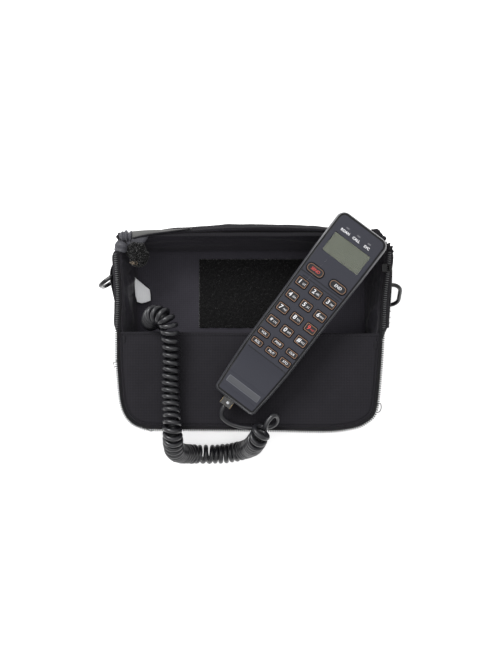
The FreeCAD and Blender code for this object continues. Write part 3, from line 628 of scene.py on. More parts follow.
def offset_loop(c, d):
    """Closed loop (n,2) moved inwards by d."""
    t = np.roll(c, -1, 0) - np.roll(c, 1, 0)
    t /= np.linalg.norm(t, axis=1)[:, None]
    n = np.stack([-t[:, 1], t[:, 0]], 1)
    if np.sum(c[:, 0] * np.roll(c[:, 1], -1) - np.roll(c[:, 0], -1) * c[:, 1]) < 0:
        n = -n
    return c + n * (d if np.isscalar(d) else np.asarray(d)[:, None])


# along the top the closing points lie on the rim itself, so they are taken out by the same step first
closing = catmull(np.vstack([teeth_xy[-1:], top_xy + np.array((0, 3.2)), teeth_xy[:1]]), 10)
master = resample(np.vstack([catmull(teeth_xy, 12)[:-1], closing[:-1]]), NR, closed=True)
for _ in range(3):
    master = (np.roll(master, 1, 0) + 2 * master + np.roll(master, -1, 0)) / 4


def on_rounded(p, hx, hy, r, cy=0.0):
    """Nearest points of a rounded rectangle to points outside its core."""
    q = np.stack([np.clip(p[:, 0], -hx + r, hx - r), np.clip(p[:, 1] - cy, -hy + r, hy - r)], 1)
    d = np.stack([p[:, 0], p[:, 1] - cy], 1) - q
    d /= np.linalg.norm(d, axis=1)[:, None] + 1e-9
    o = q + d * r
    o[:, 1] += cy
    return o


# creases of the inner gussets, as the camera sees them: (line in px, half width in px, lift in mm)
CREASES = [
    ([(118, 260.6), (126, 263), (134.9, 265)], 1.9, 1.5), ([(134.3, 266.9), (131.5, 271), (129.3, 275)], 1.6, -1.5),
    ([(134.9, 277.5), (129.9, 283.8), (122.4, 287.5)], 1.8, 1.6), ([(134.3, 294.4), (128.6, 296.9)], 1.4, -1.3),
    ([(123, 288.8), (128.6, 306.3), (131, 318.8), (131, 326.9)], 2.6, 1.7), ([(134, 327), (145, 318)], 1.6, 1.2),
    ([(120.5, 268), (124, 280), (124.5, 300), (126, 318)], 1.8, -1.1), ([(121, 306), (127, 312)], 1.6, 1.0),
    ([(379, 305), (373, 313), (370, 320.8), (368.8, 332.5)], 2.2, 1.9), ([(366, 304), (364, 318), (363, 331)], 1.8, -1.2),
    ([(384, 283), (378, 284), (367, 282)], 1.8, 1.1), ([(383, 262), (374, 268), (365, 270)], 2.2, 1.4), ([(380, 312), (376, 322), (375, 331)], 1.8, -1.2),
    ([(140, 243), (165, 240), (200, 239)], 1.6, 0.9), ([(150, 247), (190, 244), (240, 243)], 2.0, 0.8), ([(250, 236), (290, 238), (330, 243)], 1.8, 1.0),
    ([(300, 233), (345, 238), (362, 244)], 1.8, -0.9), ([(345, 233), (352, 241), (356, 249)], 1.8, 1.1), ([(205, 233), (230, 237), (262, 236)], 1.8, -0.8),
]


def wall_loop(xy, z):
    return np.column_stack([xy, np.full(len(xy), z) if np.isscalar(z) else z])


rings_, kinds = [], []
floor_out = on_rounded(master, 114.0, 81.2, 7.0, 1.2)
ctr = np.array((0.0, 0.0))
for k in (0.25, 0.5, 0.75, 0.92):
    rings_.append(wall_loop(ctr + (floor_out - ctr) * k, 9.42))
    kinds.append("floor")
IN_OFF = 4.9
rim_in = offset_loop(master, IN_OFF)
NL = 30
for i in range(NL + 1):
    t = i / NL
    f, g = 1 - (1 - t) ** 1.35, (1 - t) ** 1.25
    xy = floor_out + (rim_in - floor_out) * f
    rings_.append(wall_loop(xy, 60.0 - 50.6 * g))
    kinds.append("lining")
for off, z in ((4.6, 60.5), (4.2, 60.8), (3.7, 60.9), (3.3, 60.75), (2.95, 60.2), (2.7, 59.2)):
    rings_.append(wall_loop(offset_loop(master, off), z))
    kinds.append("rim")
back_out = on_rounded(master, 116.8, 83.2, 20.0)
rim_out = offset_loop(master, 2.7)
NO = 22
for i in range(1, NO + 1):
    t = i / NO
    xy = rim_out + (back_out - rim_out) * t
    n = rim_out - back_out
    n /= np.linalg.norm(n, axis=1)[:, None] + 1e-9
    out_n = offset_loop(master, -1.0) - master
    low_side = smooth01((-(rim_out[:, 1]) - 74) / 10)
    side_up = smooth01((np.abs(rim_out[:, 0]) - 112) / 8) * smooth01((rim_out[:, 1] + 12) / 22) * smooth01((84 - rim_out[:, 1]) / 12)
    puff = (3.9 - 1.3 * low_side + 4.6 * side_up) * min(1.0, t / 0.10) ** 0.6 * (1 - smooth01(np.array([(t - 0.45) / 0.5]))[0] * 0.6)
    xy = rim_out + (back_out - rim_out) * (t ** 1.5) + out_n * puff[:, None]
    rings_.append(wall_loop(xy, 59.2 + (6.6 - 59.2) * t))
    kinds.append("outer")
for off, z in ((0.6, 5.4), (1.8, 4.9)):
    rings_.append(wall_loop(offset_loop(back_out, off), z))
    kinds.append("outer")
for k in (0.85, 0.55, 0.25):
    rings_.append(wall_loop(back_out * k, 4.85))
    kinds.append("back")

inn = offset_loop(master, 1.0) - master
body_v = []
for lp, kd in zip(rings_, kinds):
    if kd == "lining":
        z = lp[:, 2]
        depth = np.clip((z - 10.5) / 12, 0, 1) * np.clip((60.4 - z) / 7, 0, 1)
        calm = 1 - 0.72 * smooth01((lp[:, 1] - 60) / 22)
        nz = (fbm(lp, 0.026, 3.0, 3) * 1.7 + fbm(lp * np.array((1, 1, 1.8)), 0.085, 8.0, 2) * 0.6) * calm
        px = px_of(lp)
        cr = np.zeros(len(lp))
        for line, w, a in CREASES:
            d, fr, _ = seg_dist(px, line)
            ends_ = smooth01(np.minimum(fr, 1 - fr) * 5 + 0.25)
            cr += a * np.exp(-(d / w) ** 2) * ends_
        lift = (nz * 0.7 + cr) * depth
        lp[:, :2] += inn * lift[:, None]
        lp[:, 2] += cr * depth * 0.9
    elif kd == "outer":
        z = lp[:, 2]
        depth = np.clip((z - 7) / 8, 0, 1) * np.clip((59.2 - z) / 5, 0, 1)
        nz = fbm(lp, 0.022, 21.0, 3) * 1.6 + fbm(lp * np.array((1, 1, 0.5)), 0.08, 24.0, 2) * 0.5
        lp[:, :2] -= inn * (nz * depth)[:, None]
    elif kd == "rim":
        lp[:, 2] += fbm(lp, 0.05, 31.0, 2) * 0.28
        lp[:, 2] -= 1.7 * smooth01((3.0 - lp[:, 1]) / 3.0) * np.clip((lp[:, 2] - 59.0) / 1.5, 0, 1)
        lp[:, :2] += inn * (fbm(lp, 0.03, 35.0, 2) * 0.35)[:, None]
    elif kd == "floor":
        lp[:, 2] += 0.0
    body_v.append(lp)
bv = np.vstack(body_v)
bf, bm_ = [], []
nl = len(rings_)
LIN, OUTM = 0, 1
for i in range(nl - 1):
    mi = 2 if kinds[i] == "floor" else LIN if kinds[i] == "lining" else OUTM
    for k in range(NR):
        l = (k + 1) % NR
        bf.append((i * NR + k, i * NR + l, (i + 1) * NR + l, (i + 1) * NR + k))
        bm_.append(mi)
c0 = len(bv)
bv = np.vstack([bv, [(0, 0, 9.42)], [(0, 0, 4.85)]])
for k in range(NR):
    l = (k + 1) % NR
    bf.append((c0, l, k))
    bm_.append(2)
    bf.append((c0 + 1, (nl - 1) * NR + k, (nl - 1) * NR + l))
    bm_.append(OUTM)
bag = make("bag_body", bv, bf, ["lining", "outer", "floorcloth"], body="bag", slot="bag_cloth", stands_for=("bag_shell", "back_board"), fmat=bm_)

# ------------------------------------------------------------------ pocket panel
pan_left, pan_right = [], []
pan_loop = offset_loop(master, 2.75)
y_l, y_r = P(121, 331.6, 60.6)[1], P(378, 333.4, 60.6)[1]


def fold_y(x):
    return y_l + (y_r - y_l) * (x + 125) / 250


keep = [i for i in range(NR) if pan_loop[i, 1] < fold_y(pan_loop[i, 0]) - 0.6]
brk = next(j for j in range(len(keep)) if (keep[(j + 1) % len(keep)] - keep[j]) % NR != 1)
order = [keep[(brk + 1 + j) % len(keep)] for j in range(len(keep))]
side_pts = pan_loop[order]
a, b = side_pts[-1], side_pts[0]
ntop = 190
xs = np.linspace(a[0], b[0], ntop + 2)
top_pts = np.stack([xs, [fold_y(x) + 0.15 * math.sin(x * 0.11) for x in xs]], 1)
outline = np.vstack([side_pts, top_pts])
outline = resample(outline, 560, closed=True)
if np.sum(outline[:, 0] * np.roll(outline[:, 1], -1) - np.roll(outline[:, 0], -1) * outline[:, 1]) < 0:
    outline = outline[::-1]
stitch = offset_loop(outline, 2.05)
gx, gy = np.meshgrid(np.arange(-126, 126, 1.5), np.arange(-94, 4, 1.5))
gp = np.stack([gx.ravel(), gy.ravel()], 1)
from_edge, _, _ = seg_dist(gp, np.vstack([outline, outline[:1]]))


def inside(poly, pts):
    x, y = pts[:, 0], pts[:, 1]
    r = np.zeros(len(pts), bool)
    xj, yj = poly[-1]
    for xi, yi in poly:
        c = ((yi > y) != (yj > y)) & (x < (xj - xi) * (y - yi) / (yj - yi + 1e-12) + xi)
        r ^= c
        xj, yj = xi, yi
    return r


ok = inside(outline, gp) & (from_edge > 5.2)
pts2 = [outline]
for d in (0.35, 0.7, 1.1, 1.6, 2.05, 2.5, 3.2, 4.2):
    pts2.append(offset_loop(outline, d))
allp = np.vstack(pts2 + [gp[ok]])
n_o = len(outline)
res = delaunay_2d_cdt([Vector(p) for p in allp], [(i, (i + 1) % n_o) for i in range(n_o)], [], 1, 1e-4)
pv = np.array([tuple(q) for q in res[0]])
tri = [tuple(t) for t in res[2]]
d_e, fr_e, _ = seg_dist(pv, np.vstack([outline, outline[:1]]))
near_top = np.abs(pv[:, 1] - np.array([fold_y(x) for x in pv[:, 0]]))
top_side = near_top < d_e + 0.3
edge_round = 1.25 * (1 - np.sqrt(np.clip(1 - (1 - np.clip(d_e / 1.1, 0, 1)) ** 2, 0, 1)))
groove = np.where(top_side, 0.0, 0.85 * np.exp(-((d_e - 2.05) / 0.55) ** 2))
puck = np.where(top_side, 0.0, 0.10 * np.sin(fr_e * 1200) * np.exp(-((d_e - 2.1) / 1.2) ** 2))
pillow = 0.55 * smooth01((d_e - 2.2) / 14)
p3 = np.column_stack([pv, np.zeros(len(pv))])
und = fbm(p3, 0.02, 41.0, 3) * 0.8 + fbm(p3 * np.array((1, 2.2, 1)), 0.06, 43.0, 2) * 0.18
ridge = 0.45 * np.exp(-((near_top - 1.5) / 1.5) ** 2)
hz = 60.9 - edge_round - groove + puck + pillow + und * smooth01(d_e / 9) + ridge
nv = len(pv)
vv = np.vstack([np.column_stack([pv, hz]), np.column_stack([pv, np.minimum(hz - 1.9, 58.9 + 0 * hz)])])
ff = list(tri) + [tuple(i + nv for i in t[::-1]) for t in tri]
edge_ids = [i for i in range(n_o)]
ff += [(i, (i + 1) % n_o, (i + 1) % n_o + nv, i + nv) for i in edge_ids]
pocket = make("pocket_front", vv, ff, "panel", body="bag", slot="bag_cloth", stands_for=("pocket_panel",))

# stitches down the left and right sides and along the bottom, and the bar tacks at the ends of the free edge
sl = np.vstack([stitch, stitch[:1]])
sl = resample(sl, int(length_of(sl) / 0.3))
zz, _, _ = seg_dist(sl, np.vstack([outline, outline[:1]]))
capsules = []
i = 0
bits_v, bits_f, bits_m = [], [], []
parts = []
while i + 5 < len(sl):
    seg = sl[i:i + 6]
    mid_ = seg.mean(0)
    if abs(mid_[1] - fold_y(mid_[0])) > 3.2:
        zc = 60.9 - 0.22
        zc += float(fbm(np.array([(mid_[0], mid_[1], 0.0)]), 0.02, 41.0, 3)[0]) * 0.8 * 0.35
        w = np.sin(np.linspace(0, math.pi, 6)) * 0.22
        path = np.column_stack([seg, zc + w])
        v_, f_ = sweep(path, [0.12, 0.26, 0.30, 0.30, 0.26, 0.12], sides=6)
        parts.append((v_, f_, 0))
    i += 8
x = -119.0
while x < 118.0:
    y = fold_y(x) - 2.3
    path = np.array([(x, y, 61.15), (x + 0.5, y, 61.55), (x + 1.2, y, 61.55), (x + 1.7, y, 61.15)])
    path[:, 2] += float(fbm(np.array([(x, y, 0.0)]), 0.02, 41.0, 3)[0]) * 0.8 * 0.15
    v_, f_ = sweep(path, 0.27, sides=6)
    parts.append((v_, f_, 0))
    x += 2.5
for cx_, cy_ in ((-120.6, fold_y(-120.6) - 4.2), (118.4, fold_y(118.4) - 8.0)):
    for k in range(9):
        y = cy_ - k * 0.75
        path = np.array([(cx_ - 1.5, y, 60.9), (cx_ - 0.6, y + 0.1, 61.35), (cx_ + 0.6, y - 0.1, 61.35), (cx_ + 1.5, y, 60.9)])
        v_, f_ = sweep(path, 0.32, sides=6)
        parts.append((v_, f_, 0))
v_, f_, m_ = join(parts)
make("pocket_stitching", v_, f_, "thread", body="bag", slot="bag_cloth")

# ------------------------------------------------------------------ pile patch on the back wall
x0, y0p = P(199, 327, 10.8)[:2]
x0 = P(199, 300, 10.8)[0]
y_top = P(250, 259, 10.8)[1]
y_bot = P(250, 327.5, 10.8)[1]
x1 = 66.0
nx, ny = 200, 118
gxp, gyp = np.linspace(x0, x1, nx), np.linspace(y_bot, y_top, ny)
X, Y = np.meshgrid(gxp, gyp)
flatp = np.stack([X.ravel(), Y.ravel(), np.zeros(nx * ny)], 1)
rng = np.random.default_rng(5)
hgt = 11.0 + fbm(flatp, 0.35, 51.0, 3, 0.65) * 0.85 + rng.random(nx * ny) * 0.55
edge = np.minimum(np.minimum(X.ravel() - x0, x1 - X.ravel()), np.minimum(Y.ravel() - y_bot, y_top - Y.ravel()))
hgt = np.where(edge < 0.01, 9.5, hgt)
jx = (rng.random(nx * ny) - 0.5) * 0.7
jy = (rng.random(nx * ny) - 0.5) * 0.7
topv = np.stack([X.ravel() + jx, Y.ravel() + jy, hgt], 1)
botv = np.stack([X.ravel(), Y.ravel(), np.full(nx * ny, 9.45)], 1)
ft = []
for j in range(ny - 1):
    for i in range(nx - 1):
        q = j * nx + i
        ft.append((q, q + 1, q + nx + 1, q + nx))
fb = [tuple(i + nx * ny for i in (0, nx - 1, nx * ny - 1, nx * (ny - 1)))[::-1]]
border = list(range(nx)) + [nx * j + nx - 1 for j in range(1, ny)] + [nx * (ny - 1) + i for i in range(nx - 2, -1, -1)] + [nx * j for j in range(ny - 2, 0, -1)]
corner4 = (0, nx - 1, nx * ny - 1, nx * (ny - 1))
bot_ids = {q: n for n, q in enumerate(border)}
vb = botv[border]
base = nx * ny
fs_ = ft + [(border[i], border[(i + 1) % len(border)], base + (i + 1) % len(border), base + i) for i in range(len(border))]
fs_.append(tuple(base + i for i in range(len(border)))[::-1])
patch = make("pile_patch", np.vstack([topv, vb]), fs_, "fuzz", body="bag", slot="loop_pile", stands_for=("loop_patch",))

# ------------------------------------------------------------------ zip: tape and teeth
t_t = np.gradient(teeth_line, axis=0)
t_t /= np.linalg.norm(t_t, axis=1)[:, None]
n_t = np.stack([-t_t[:, 1], t_t[:, 0]], 1)
if (teeth_line[450] + n_t[450] * 5)[1] < teeth_line[450][1]:
    n_t = -n_t
# n_t points into the bag
rows_t = []
for off, z in ((-0.5, 60.6), (-0.3, 60.95), (0.5, 61.15), (1.5, 61.2), (2.1, 61.15), (2.55, 60.95), (2.75, 60.6), (2.7, 60.1), (1.8, 60.0), (0.9, 60.15)):
    zz_ = z + fbm(np.column_stack([teeth_line, np.zeros(900)]), 0.05, 61.0, 2) * 0.22
    rows_t.append(np.column_stack([teeth_line + n_t * off, zz_]))
m = len(rows_t)
tv = np.stack(rows_t, 1).reshape(-1, 3)
tf = []
for i in range(899):
    for k in range(m):
        l = (k + 1) % m
        tf.append((i * m + k, i * m + l, (i + 1) * m + l, (i + 1) * m + k))
tf.append(tuple(range(m)))
tf.append(tuple(899 * m + k for k in range(m))[::-1])
make("zip_tape_strip", tv, tf, "tape", body="bag", slot="zip_tape", stands_for=("zip_tape",))

tl = length_of(np.column_stack([teeth_line, np.zeros(900)]))
n_teeth = int(tl / 2.05)
tp = resample(teeth_line, n_teeth)
tt = np.gradient(tp, axis=0)
tt /= np.linalg.norm(tt, axis=1)[:, None]
tn = np.stack([-tt[:, 1], tt[:, 0]], 1)
if (tp[n_teeth // 2] + tn[n_teeth // 2])[1] < tp[n_teeth // 2][1]:
    tn = -tn


def tooth(c, t, n, z, k, wide=1.0):
    """One zip tooth: a rounded block gripping the tape's edge, with its head outwards."""
    lens = (0.84 + 0.02 * ((k * 7) % 5)) * wide
    prof_ = [(1.0, 0.34), (0.5, 0.38), (-0.3, 0.50), (-1.65, 0.52), (-2.05, 0.38)]
    vs = []
    for d, w in prof_:
        h = 0.95 if d > -1.6 else 0.78
        for su, sz in ((-1, -1), (1, -1), (1, 1), (-1, 1)):
            hh = h * (1.0 if abs(d) < 1.9 else 0.6)
            vs.append((c[0] + n[0] * d + t[0] * w * su * lens * (0.8 if sz > 0 else 1), c[1] + n[1] * d + t[1] * w * su * lens * (0.8 if sz > 0 else 1), z + sz * hh))
    fs = [(0, 1, 2, 3), (16, 19, 18, 17)]
    for i in range(4):
        for q in range(4):
            r_ = (q + 1) % 4
            fs.append((i * 4 + q, i * 4 + 4 + q, i * 4 + 4 + r_, i * 4 + r_))
    return vs, fs


parts = []
# teeth above y = 2 mm take the lighter colour, a painted highlight; the lower ones keep the teeth's own dark colour
for k in range(n_teeth):
    v_, f_ = tooth(tp[k], tt[k], tn[k], 61.35, k, 0.88 + 0.62 * float(smooth01(np.array([(4.0 - tp[k][1]) / 6.0]))[0]))
    parts.append((v_, f_, 0 if tp[k][1] > 2.0 else 1))
v_, f_, m_ = join(parts)
make("zip_teeth", v_, f_, ["teeth", "teeth_dark"], body="bag", slot="zip_teeth", stands_for=("zip_chain",), fmat=m_)

# slider: two rounded plates joined at their outer edge, with lugs for the pull
CX, SY = 126.6, 60.0
parts = []


def plate(cx_, cy_, w, h, r, z0_, z1_, bev=0.35):
    vs, fs = [], []
    for ins_, z in ((bev, z0_), (0, z0_ + bev), (0, z1_ - bev), (bev, z1_), (bev * 2.2, z1_ + 0.02)):
        lp = []
        for qx, qy, a0 in ((w / 2 - r, h / 2 - r, 0), (-w / 2 + r, h / 2 - r, 90), (-w / 2 + r, -h / 2 + r, 180), (w / 2 - r, -h / 2 + r, 270)):
            for k in range(6):
                t = math.radians(a0 + 90 * k / 5)
                lp.append((cx_ + qx + (r - ins_) * math.cos(t), cy_ + qy + (r - ins_) * math.sin(t), z))
        vs += lp
    for i in range(4):
        for k in range(24):
            l = (k + 1) % 24
            fs.append((i * 24 + k, i * 24 + l, (i + 1) * 24 + l, (i + 1) * 24 + k))
    fs.append(tuple(range(24))[::-1])
    fs.append(tuple(4 * 24 + k for k in range(24)))
    return np.array(vs), fs


for a_ in ((CX + 0.2, SY, 5.4, 8.2, 2.0, 62.75, 63.95), (CX + 0.7, SY, 4.4, 8.0, 1.6, 58.6, 59.8), (CX + 2.4, SY, 1.2, 6.4, 0.5, 59.2, 63.4),
           (CX + 4.4, SY - 2.8, 4.0, 1.1, 0.5, 60.5, 63.3), (CX + 4.4, SY + 2.8, 4.0, 1.1, 0.5, 60.5, 63.3)):
    v_, f_ = plate(*a_)
    parts.append((v_, f_, 0))
v_, f_ = sweep(np.array([(CX + 5.3, SY - 3.3, 61.9), (CX + 5.3, SY, 61.9), (CX + 5.3, SY + 3.3, 61.9)]), 0.7, sides=10)
parts.append((v_, f_, 0))
v_, f_, m_ = join(parts)
make("slider_body", v_, f_, "zipmetal", body="zip_slider", slot="zip_metal", stands_for=("zip_slider",), sharp=40)

# ------------------------------------------------------------------ side straps and rings
def strap_cloth(name, line, z_lo, z_hi, thick, stands=(), seed=1.0):
    """Webbing standing on edge along line (x, y), from z_lo to z_hi."""
    ln = resample(catmull(line, 10), 90)
    p = np.column_stack([ln, np.full(90, (z_lo + z_hi) / 2)])
    d = fbm(p, 0.03, seed, 2) * 0.5
    p[:, 0] += d
    v_, f_ = ribbon(p, (0, 0, 1.0), z_hi - z_lo, thick, rows=14)
    return v_, f_


left_line = [(-124.6, 75), (-128.4, 71), (-132.5, 66.5), (-135.2, 61), (-136.0, 54), (-135.0, 46), (-132.6, 36), (-130.2, 25), (-128.2, 15)]
right_line = [(126.0, 79.0), (130.4, 75.0), (134.4, 70.0), (136.6, 62.0), (136.2, 48.0), (135.4, 33.0), (134.2, 19.0), (133.2, 4.5)]
v1, f1 = strap_cloth("l", left_line, 23.0, 47.5, 1.9, seed=2.0)
v2, f2 = strap_cloth("l2", [(x + 2.2, y) for x, y in left_line], 23.4, 47.0, 2.4, seed=2.4)
v3, f3 = strap_cloth("r", right_line, 18.0, 43.0, 1.9, seed=5.0)
v4, f4 = strap_cloth("r2", [(x - 2.3, y) for x, y in right_line], 18.4, 42.6, 1.8, seed=5.3)


def sleeve(bar_c, axis_, outward, half, r):
    """Loop of webbing round a ring's bar, with its tail going into the strap."""
    a_, o_, c_ = np.array(axis_, float), np.array(outward, float), np.array(bar_c, float)
    n_ = np.cross(a_, o_)
    prof_ = [c_ - o_ * 7.0 + n_ * 1.4]
    for k in range(13):
        t = math.radians(125 - 250 * k / 12)
        prof_.append(c_ + o_ * (r * math.cos(t)) + n_ * (r * math.sin(t)))
    prof_.append(c_ - o_ * 7.0 - n_ * 1.4)
    prof_ = resample(catmull(prof_, 6), 60)
    return ribbon(prof_, tuple(a_), 2 * half, 1.5, rows=10)


v5, f5 = sleeve((-134.0, 53.5, 35.0), (0, 0, 1.0), (-0.824, -0.567, 0), 9.6, 3.4)
v6, f6 = sleeve((131.0, 37.0, 30.0), (0, 0.6, 0.8), (1.0, 0, 0), 9.6, 3.4)
v_, f_, m_ = join([(v1, f1, 0), (v2, f2, 0), (v3, f3, 0), (v4, f4, 0), (v5, f5, 0), (v6, f6, 0)])
make("side_straps", v_, f_, "web", body="bag", slot="webbing", stands_for=("strap_webbing",))

# rows of stitching across both straps
parts = []
for line, z0_, z1_, out_s in ((left_line, 23.0, 47.5, -1), (right_line, 18.0, 43.0, 1)):
    ln = resample(catmull(line, 10), 90)
    for fr in (0.06, 0.13, 0.80, 0.88, 0.95):
        i = int(fr * 89)
        for k in range(9):
            z = z0_ + 2 + k * (z1_ - z0_ - 4) / 8
            c_ = ln[i] + np.array((out_s * 1.15, 0))
            path = np.array([(c_[0], c_[1], z), (c_[0] + out_s * 0.35, c_[1], z + 0.6), (c_[0] + out_s * 0.35, c_[1], z + 1.2), (c_[0], c_[1], z + 1.8)])
            v_, f_ = sweep(path, 0.25, sides=5)
            parts.append((v_, f_, 0))
v_, f_, m_ = join(parts)
make("strap_stitching", v_, f_, "thread", body="bag", slot="webbing")


def ring_path(bar_c, axis_, outward):
    r, inside_w, reach_ = 2.0, 25.5, 17.0
    h, reach = inside_w / 2 + r, reach_ - r
    big, small = reach * 0.6, 3.2
    a_, o_, c_ = np.array(axis_, float), np.array(outward, float), np.array(bar_c, float)
    o_ = o_ / np.linalg.norm(o_)
    pts = []

    def arc(cx_, cy_, rr, a0, a1, n=12):
        for k in range(n + 1):
            t = math.radians(a0 + (a1 - a0) * k / n)
            pts.append((cx_ + rr * math.cos(t), cy_ + rr * math.sin(t)))
    for x in np.linspace(-h + small, h - small, 12)[:-1]:
        pts.append((x, 0.0))
    arc(h - small, small, small, -90, 0, 8)
    arc(h - big, reach - big, big, 0, 90)
    arc(-h + big, reach - big, big, 90, 180)
    arc(-h + small, small, small, 180, 270, 8)
    q = np.array(pts)
    keep_ = [0] + [i for i in range(1, len(q)) if np.linalg.norm(q[i] - q[i - 1]) > 1e-3]
    q = q[keep_]
    if np.linalg.norm(q[0] - q[-1]) < 1e-3:
        q = q[:-1]
    return resample(c_ + q[:, :1] * a_ + q[:, 1:] * o_, 120, closed=True)


for nme, bar_c, axis_, outward in (("d_ring_left", (-134.0, 53.5, 35.0), (0, 0, 1.0), (-0.824, -0.567, 0)), ("d_ring_right", (131.0, 37.0, 30.0), (0, 0.6, 0.8), (1.0, 0, 0))):
    v_, f_ = sweep(ring_path(bar_c, axis_, outward), 2.0, sides=16, closed=True)
    make(nme + "_wire", v_, f_, "ring", body=nme, slot="ring_plastic", stands_for=(nme,))

# ------------------------------------------------------------------ cover: hinge strip and folded-back panel
# cloth over the top gusset, sewn to the rim, down the back and round the lower corner
nxs, prof_s = 120, []
xs_ = np.linspace(-112, 110, nxs)
prof_out = [(90.2, 60.95), (91.6, 61.15), (93.0, 60.6), (94.2, 59.2), (95.0, 57.0), (95.2, 54.0), (95.3, 48.0), (95.35, 40.0), (95.35, 30.0), (95.3, 20.0), (95.15, 12.0), (94.9, 10.2)]
prof_in = [(93.1, 10.2), (92.9, 12.0), (92.85, 20.0), (92.85, 30.0), (92.85, 40.0), (92.85, 48.0), (92.8, 54.0), (92.6, 57.0), (91.8, 58.8), (90.8, 59.7), (90.2, 60.1)]
prof_s = prof_out + prof_in
vs = []
for x in xs_:
    kx = 1.0
    drop = 4.5 * smooth01(np.array([(abs(x) - 92) / 20]))[0]
    for y, z in prof_s:
        up = np.clip((z - 50) / 12, 0, 1)
        wob = 0.35 * math.sin(x * 0.07 + z * 0.05) + noise_at((x, y, z), 0.03, 4.0) * 0.8
        vs.append((x, y + wob * 0.5 - drop * up * 0.9, z - drop * 0.35 * up + 0.25 * noise_at((x, 0, 0), 0.08, 6.0) * up))
m = len(prof_s)
fs = []
for i in range(nxs - 1):
    for k in range(m):
        l = (k + 1) % m
        fs.append((i * m + k, i * m + l, (i + 1) * m + l, (i + 1) * m + k))
fs.append(tuple(range(m)))
fs.append(tuple((nxs - 1) * m + k for k in range(m))[::-1])
strip_ob = make("cover_strip", np.array(vs), fs, "outer", slot="bag_cloth", stands_for=("lid_strip",))
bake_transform(strip_ob)

# cloth hinge between the strip and the panel
hp_ = [(95.30, 14.0), (95.30, 10.5), (95.25, 8.0), (95.0, 6.4), (94.2, 5.3), (92.6, 4.85), (90.0, 4.75), (87.0, 4.7), (87.0, 3.9), (90.0, 3.95), (92.2, 3.9), (93.6, 4.1), (94.0, 5.6), (94.1, 8.0), (94.1, 10.5), (94.1, 14.0)]
hp_d = []
for i in range(len(hp_)):
    a_, b_4 = np.array(hp_[i]), np.array(hp_[(i + 1) % len(hp_)])
    for k in range(2):
        hp_d.append(a_ + (b_4 - a_) * k / 2)
vs, fs = [], []
m = len(hp_d)
hx_ = np.linspace(-107.4, 107.4, 100)
for x in hx_:
    for y, z in hp_d:
        vs.append((x, y + 0.12 * math.sin(x * 0.35), z))
for i in range(len(hx_) - 1):
    for k in range(m):
        l = (k + 1) % m
        fs.append((i * m + k, i * m + l, (i + 1) * m + l, (i + 1) * m + k))
fs.append(tuple(range(m)))
fs.append(tuple((len(hx_) - 1) * m + k for k in range(m))[::-1])
hinge_ob = make("cover_hinge", np.array(vs), fs, "outer", slot="bag_cloth")
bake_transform(hinge_ob)

# panel of the cover, with a crowned face, its own hem and a shallow groove along its stitch line
LX, LY0, LY1, LT = 116.0, -76.0, 93.4, 4.4


def lid_loop(inset, n=240):
    pts = []
    hx, r = LX - inset, 20.0 - inset * 0.8
    for cx_, cy_, a0, rr in ((hx - 3, LY1 - inset - 3, 0, 3.0), (-hx + 3, LY1 - inset - 3, 90, 3.0), (-hx + r, LY0 + inset + r, 180, r), (hx - r, LY0 + inset + r, 270, r)):
        for k in range(10):
            t = math.radians(a0 + 90 * k / 9)
            pts.append((cx_ + rr * math.cos(t), cy_ + rr * math.sin(t)))
    return resample(np.array(pts), n, closed=True)


seq = [(10, 4.3), (5.0, 4.25), (4.2, 4.0), (3.4, 4.25), (1.2, 4.25), (0.3, 3.7), (0.0, 2.6), (0.0, 1.6), (0.3, 0.8), (1.2, 0.3), (3.4, 0.2), (4.2, 0.5), (5.0, 0.15), (10, 0.1)]
vs = []
for ins_, z in seq:
    lp = lid_loop(ins_)
    vs.append(np.column_stack([lp, np.full(240, z)]))
vs = np.vstack(vs)
fs = []
for i in range(len(seq) - 1):
    for k in range(240):
        l = (k + 1) % 240
        fs.append((i * 240 + k, i * 240 + l, (i + 1) * 240 + l, (i + 1) * 240 + k))
fs.append(tuple(range(240)))
fs.append(tuple((len(seq) - 1) * 240 + k for k in range(240))[::-1])
lid_ob = make("cover_panel", vs, fs, "outer", slot="bag_cloth", stands_for=("lid_panel",), body="lid_panel")

# its own half of the zip
ll = lid_loop(-1.1, 900)
ll = ll[(ll[:, 1] < 69)]
ll = ll[np.argsort(np.unwrap(np.arctan2(ll[:, 1] - 0.0, ll[:, 0])) % (2 * math.pi) + 0)] if False else ll
st = int(np.argmax(np.linalg.norm(np.diff(np.vstack([ll, ll[:1]]), axis=0), axis=1)))
ll = np.roll(ll, -(st + 1), 0)
lt_len = length_of(ll)
n_l = int(lt_len / 1.45)
lp = resample(ll, n_l)
tt_ = np.gradient(lp, axis=0)
tt_ /= np.linalg.norm(tt_, axis=1)[:, None]
nn_ = np.stack([-tt_[:, 1], tt_[:, 0]], 1)
cen = lp.mean(0)
if np.sum((cen - lp[n_l // 2]) * nn_[n_l // 2]) < 0:
    nn_ = -nn_
parts = []
for k in range(n_l):
    v_, f_ = tooth(lp[k], tt_[k], nn_[k], 2.2, k)
    parts.append((v_, f_, 0))
v_, f_, m_ = join(parts)
make("cover_zip_teeth", v_, f_, "teeth_dark", body="lid_panel", slot="zip_teeth", stands_for=("lid_zip_chain",))
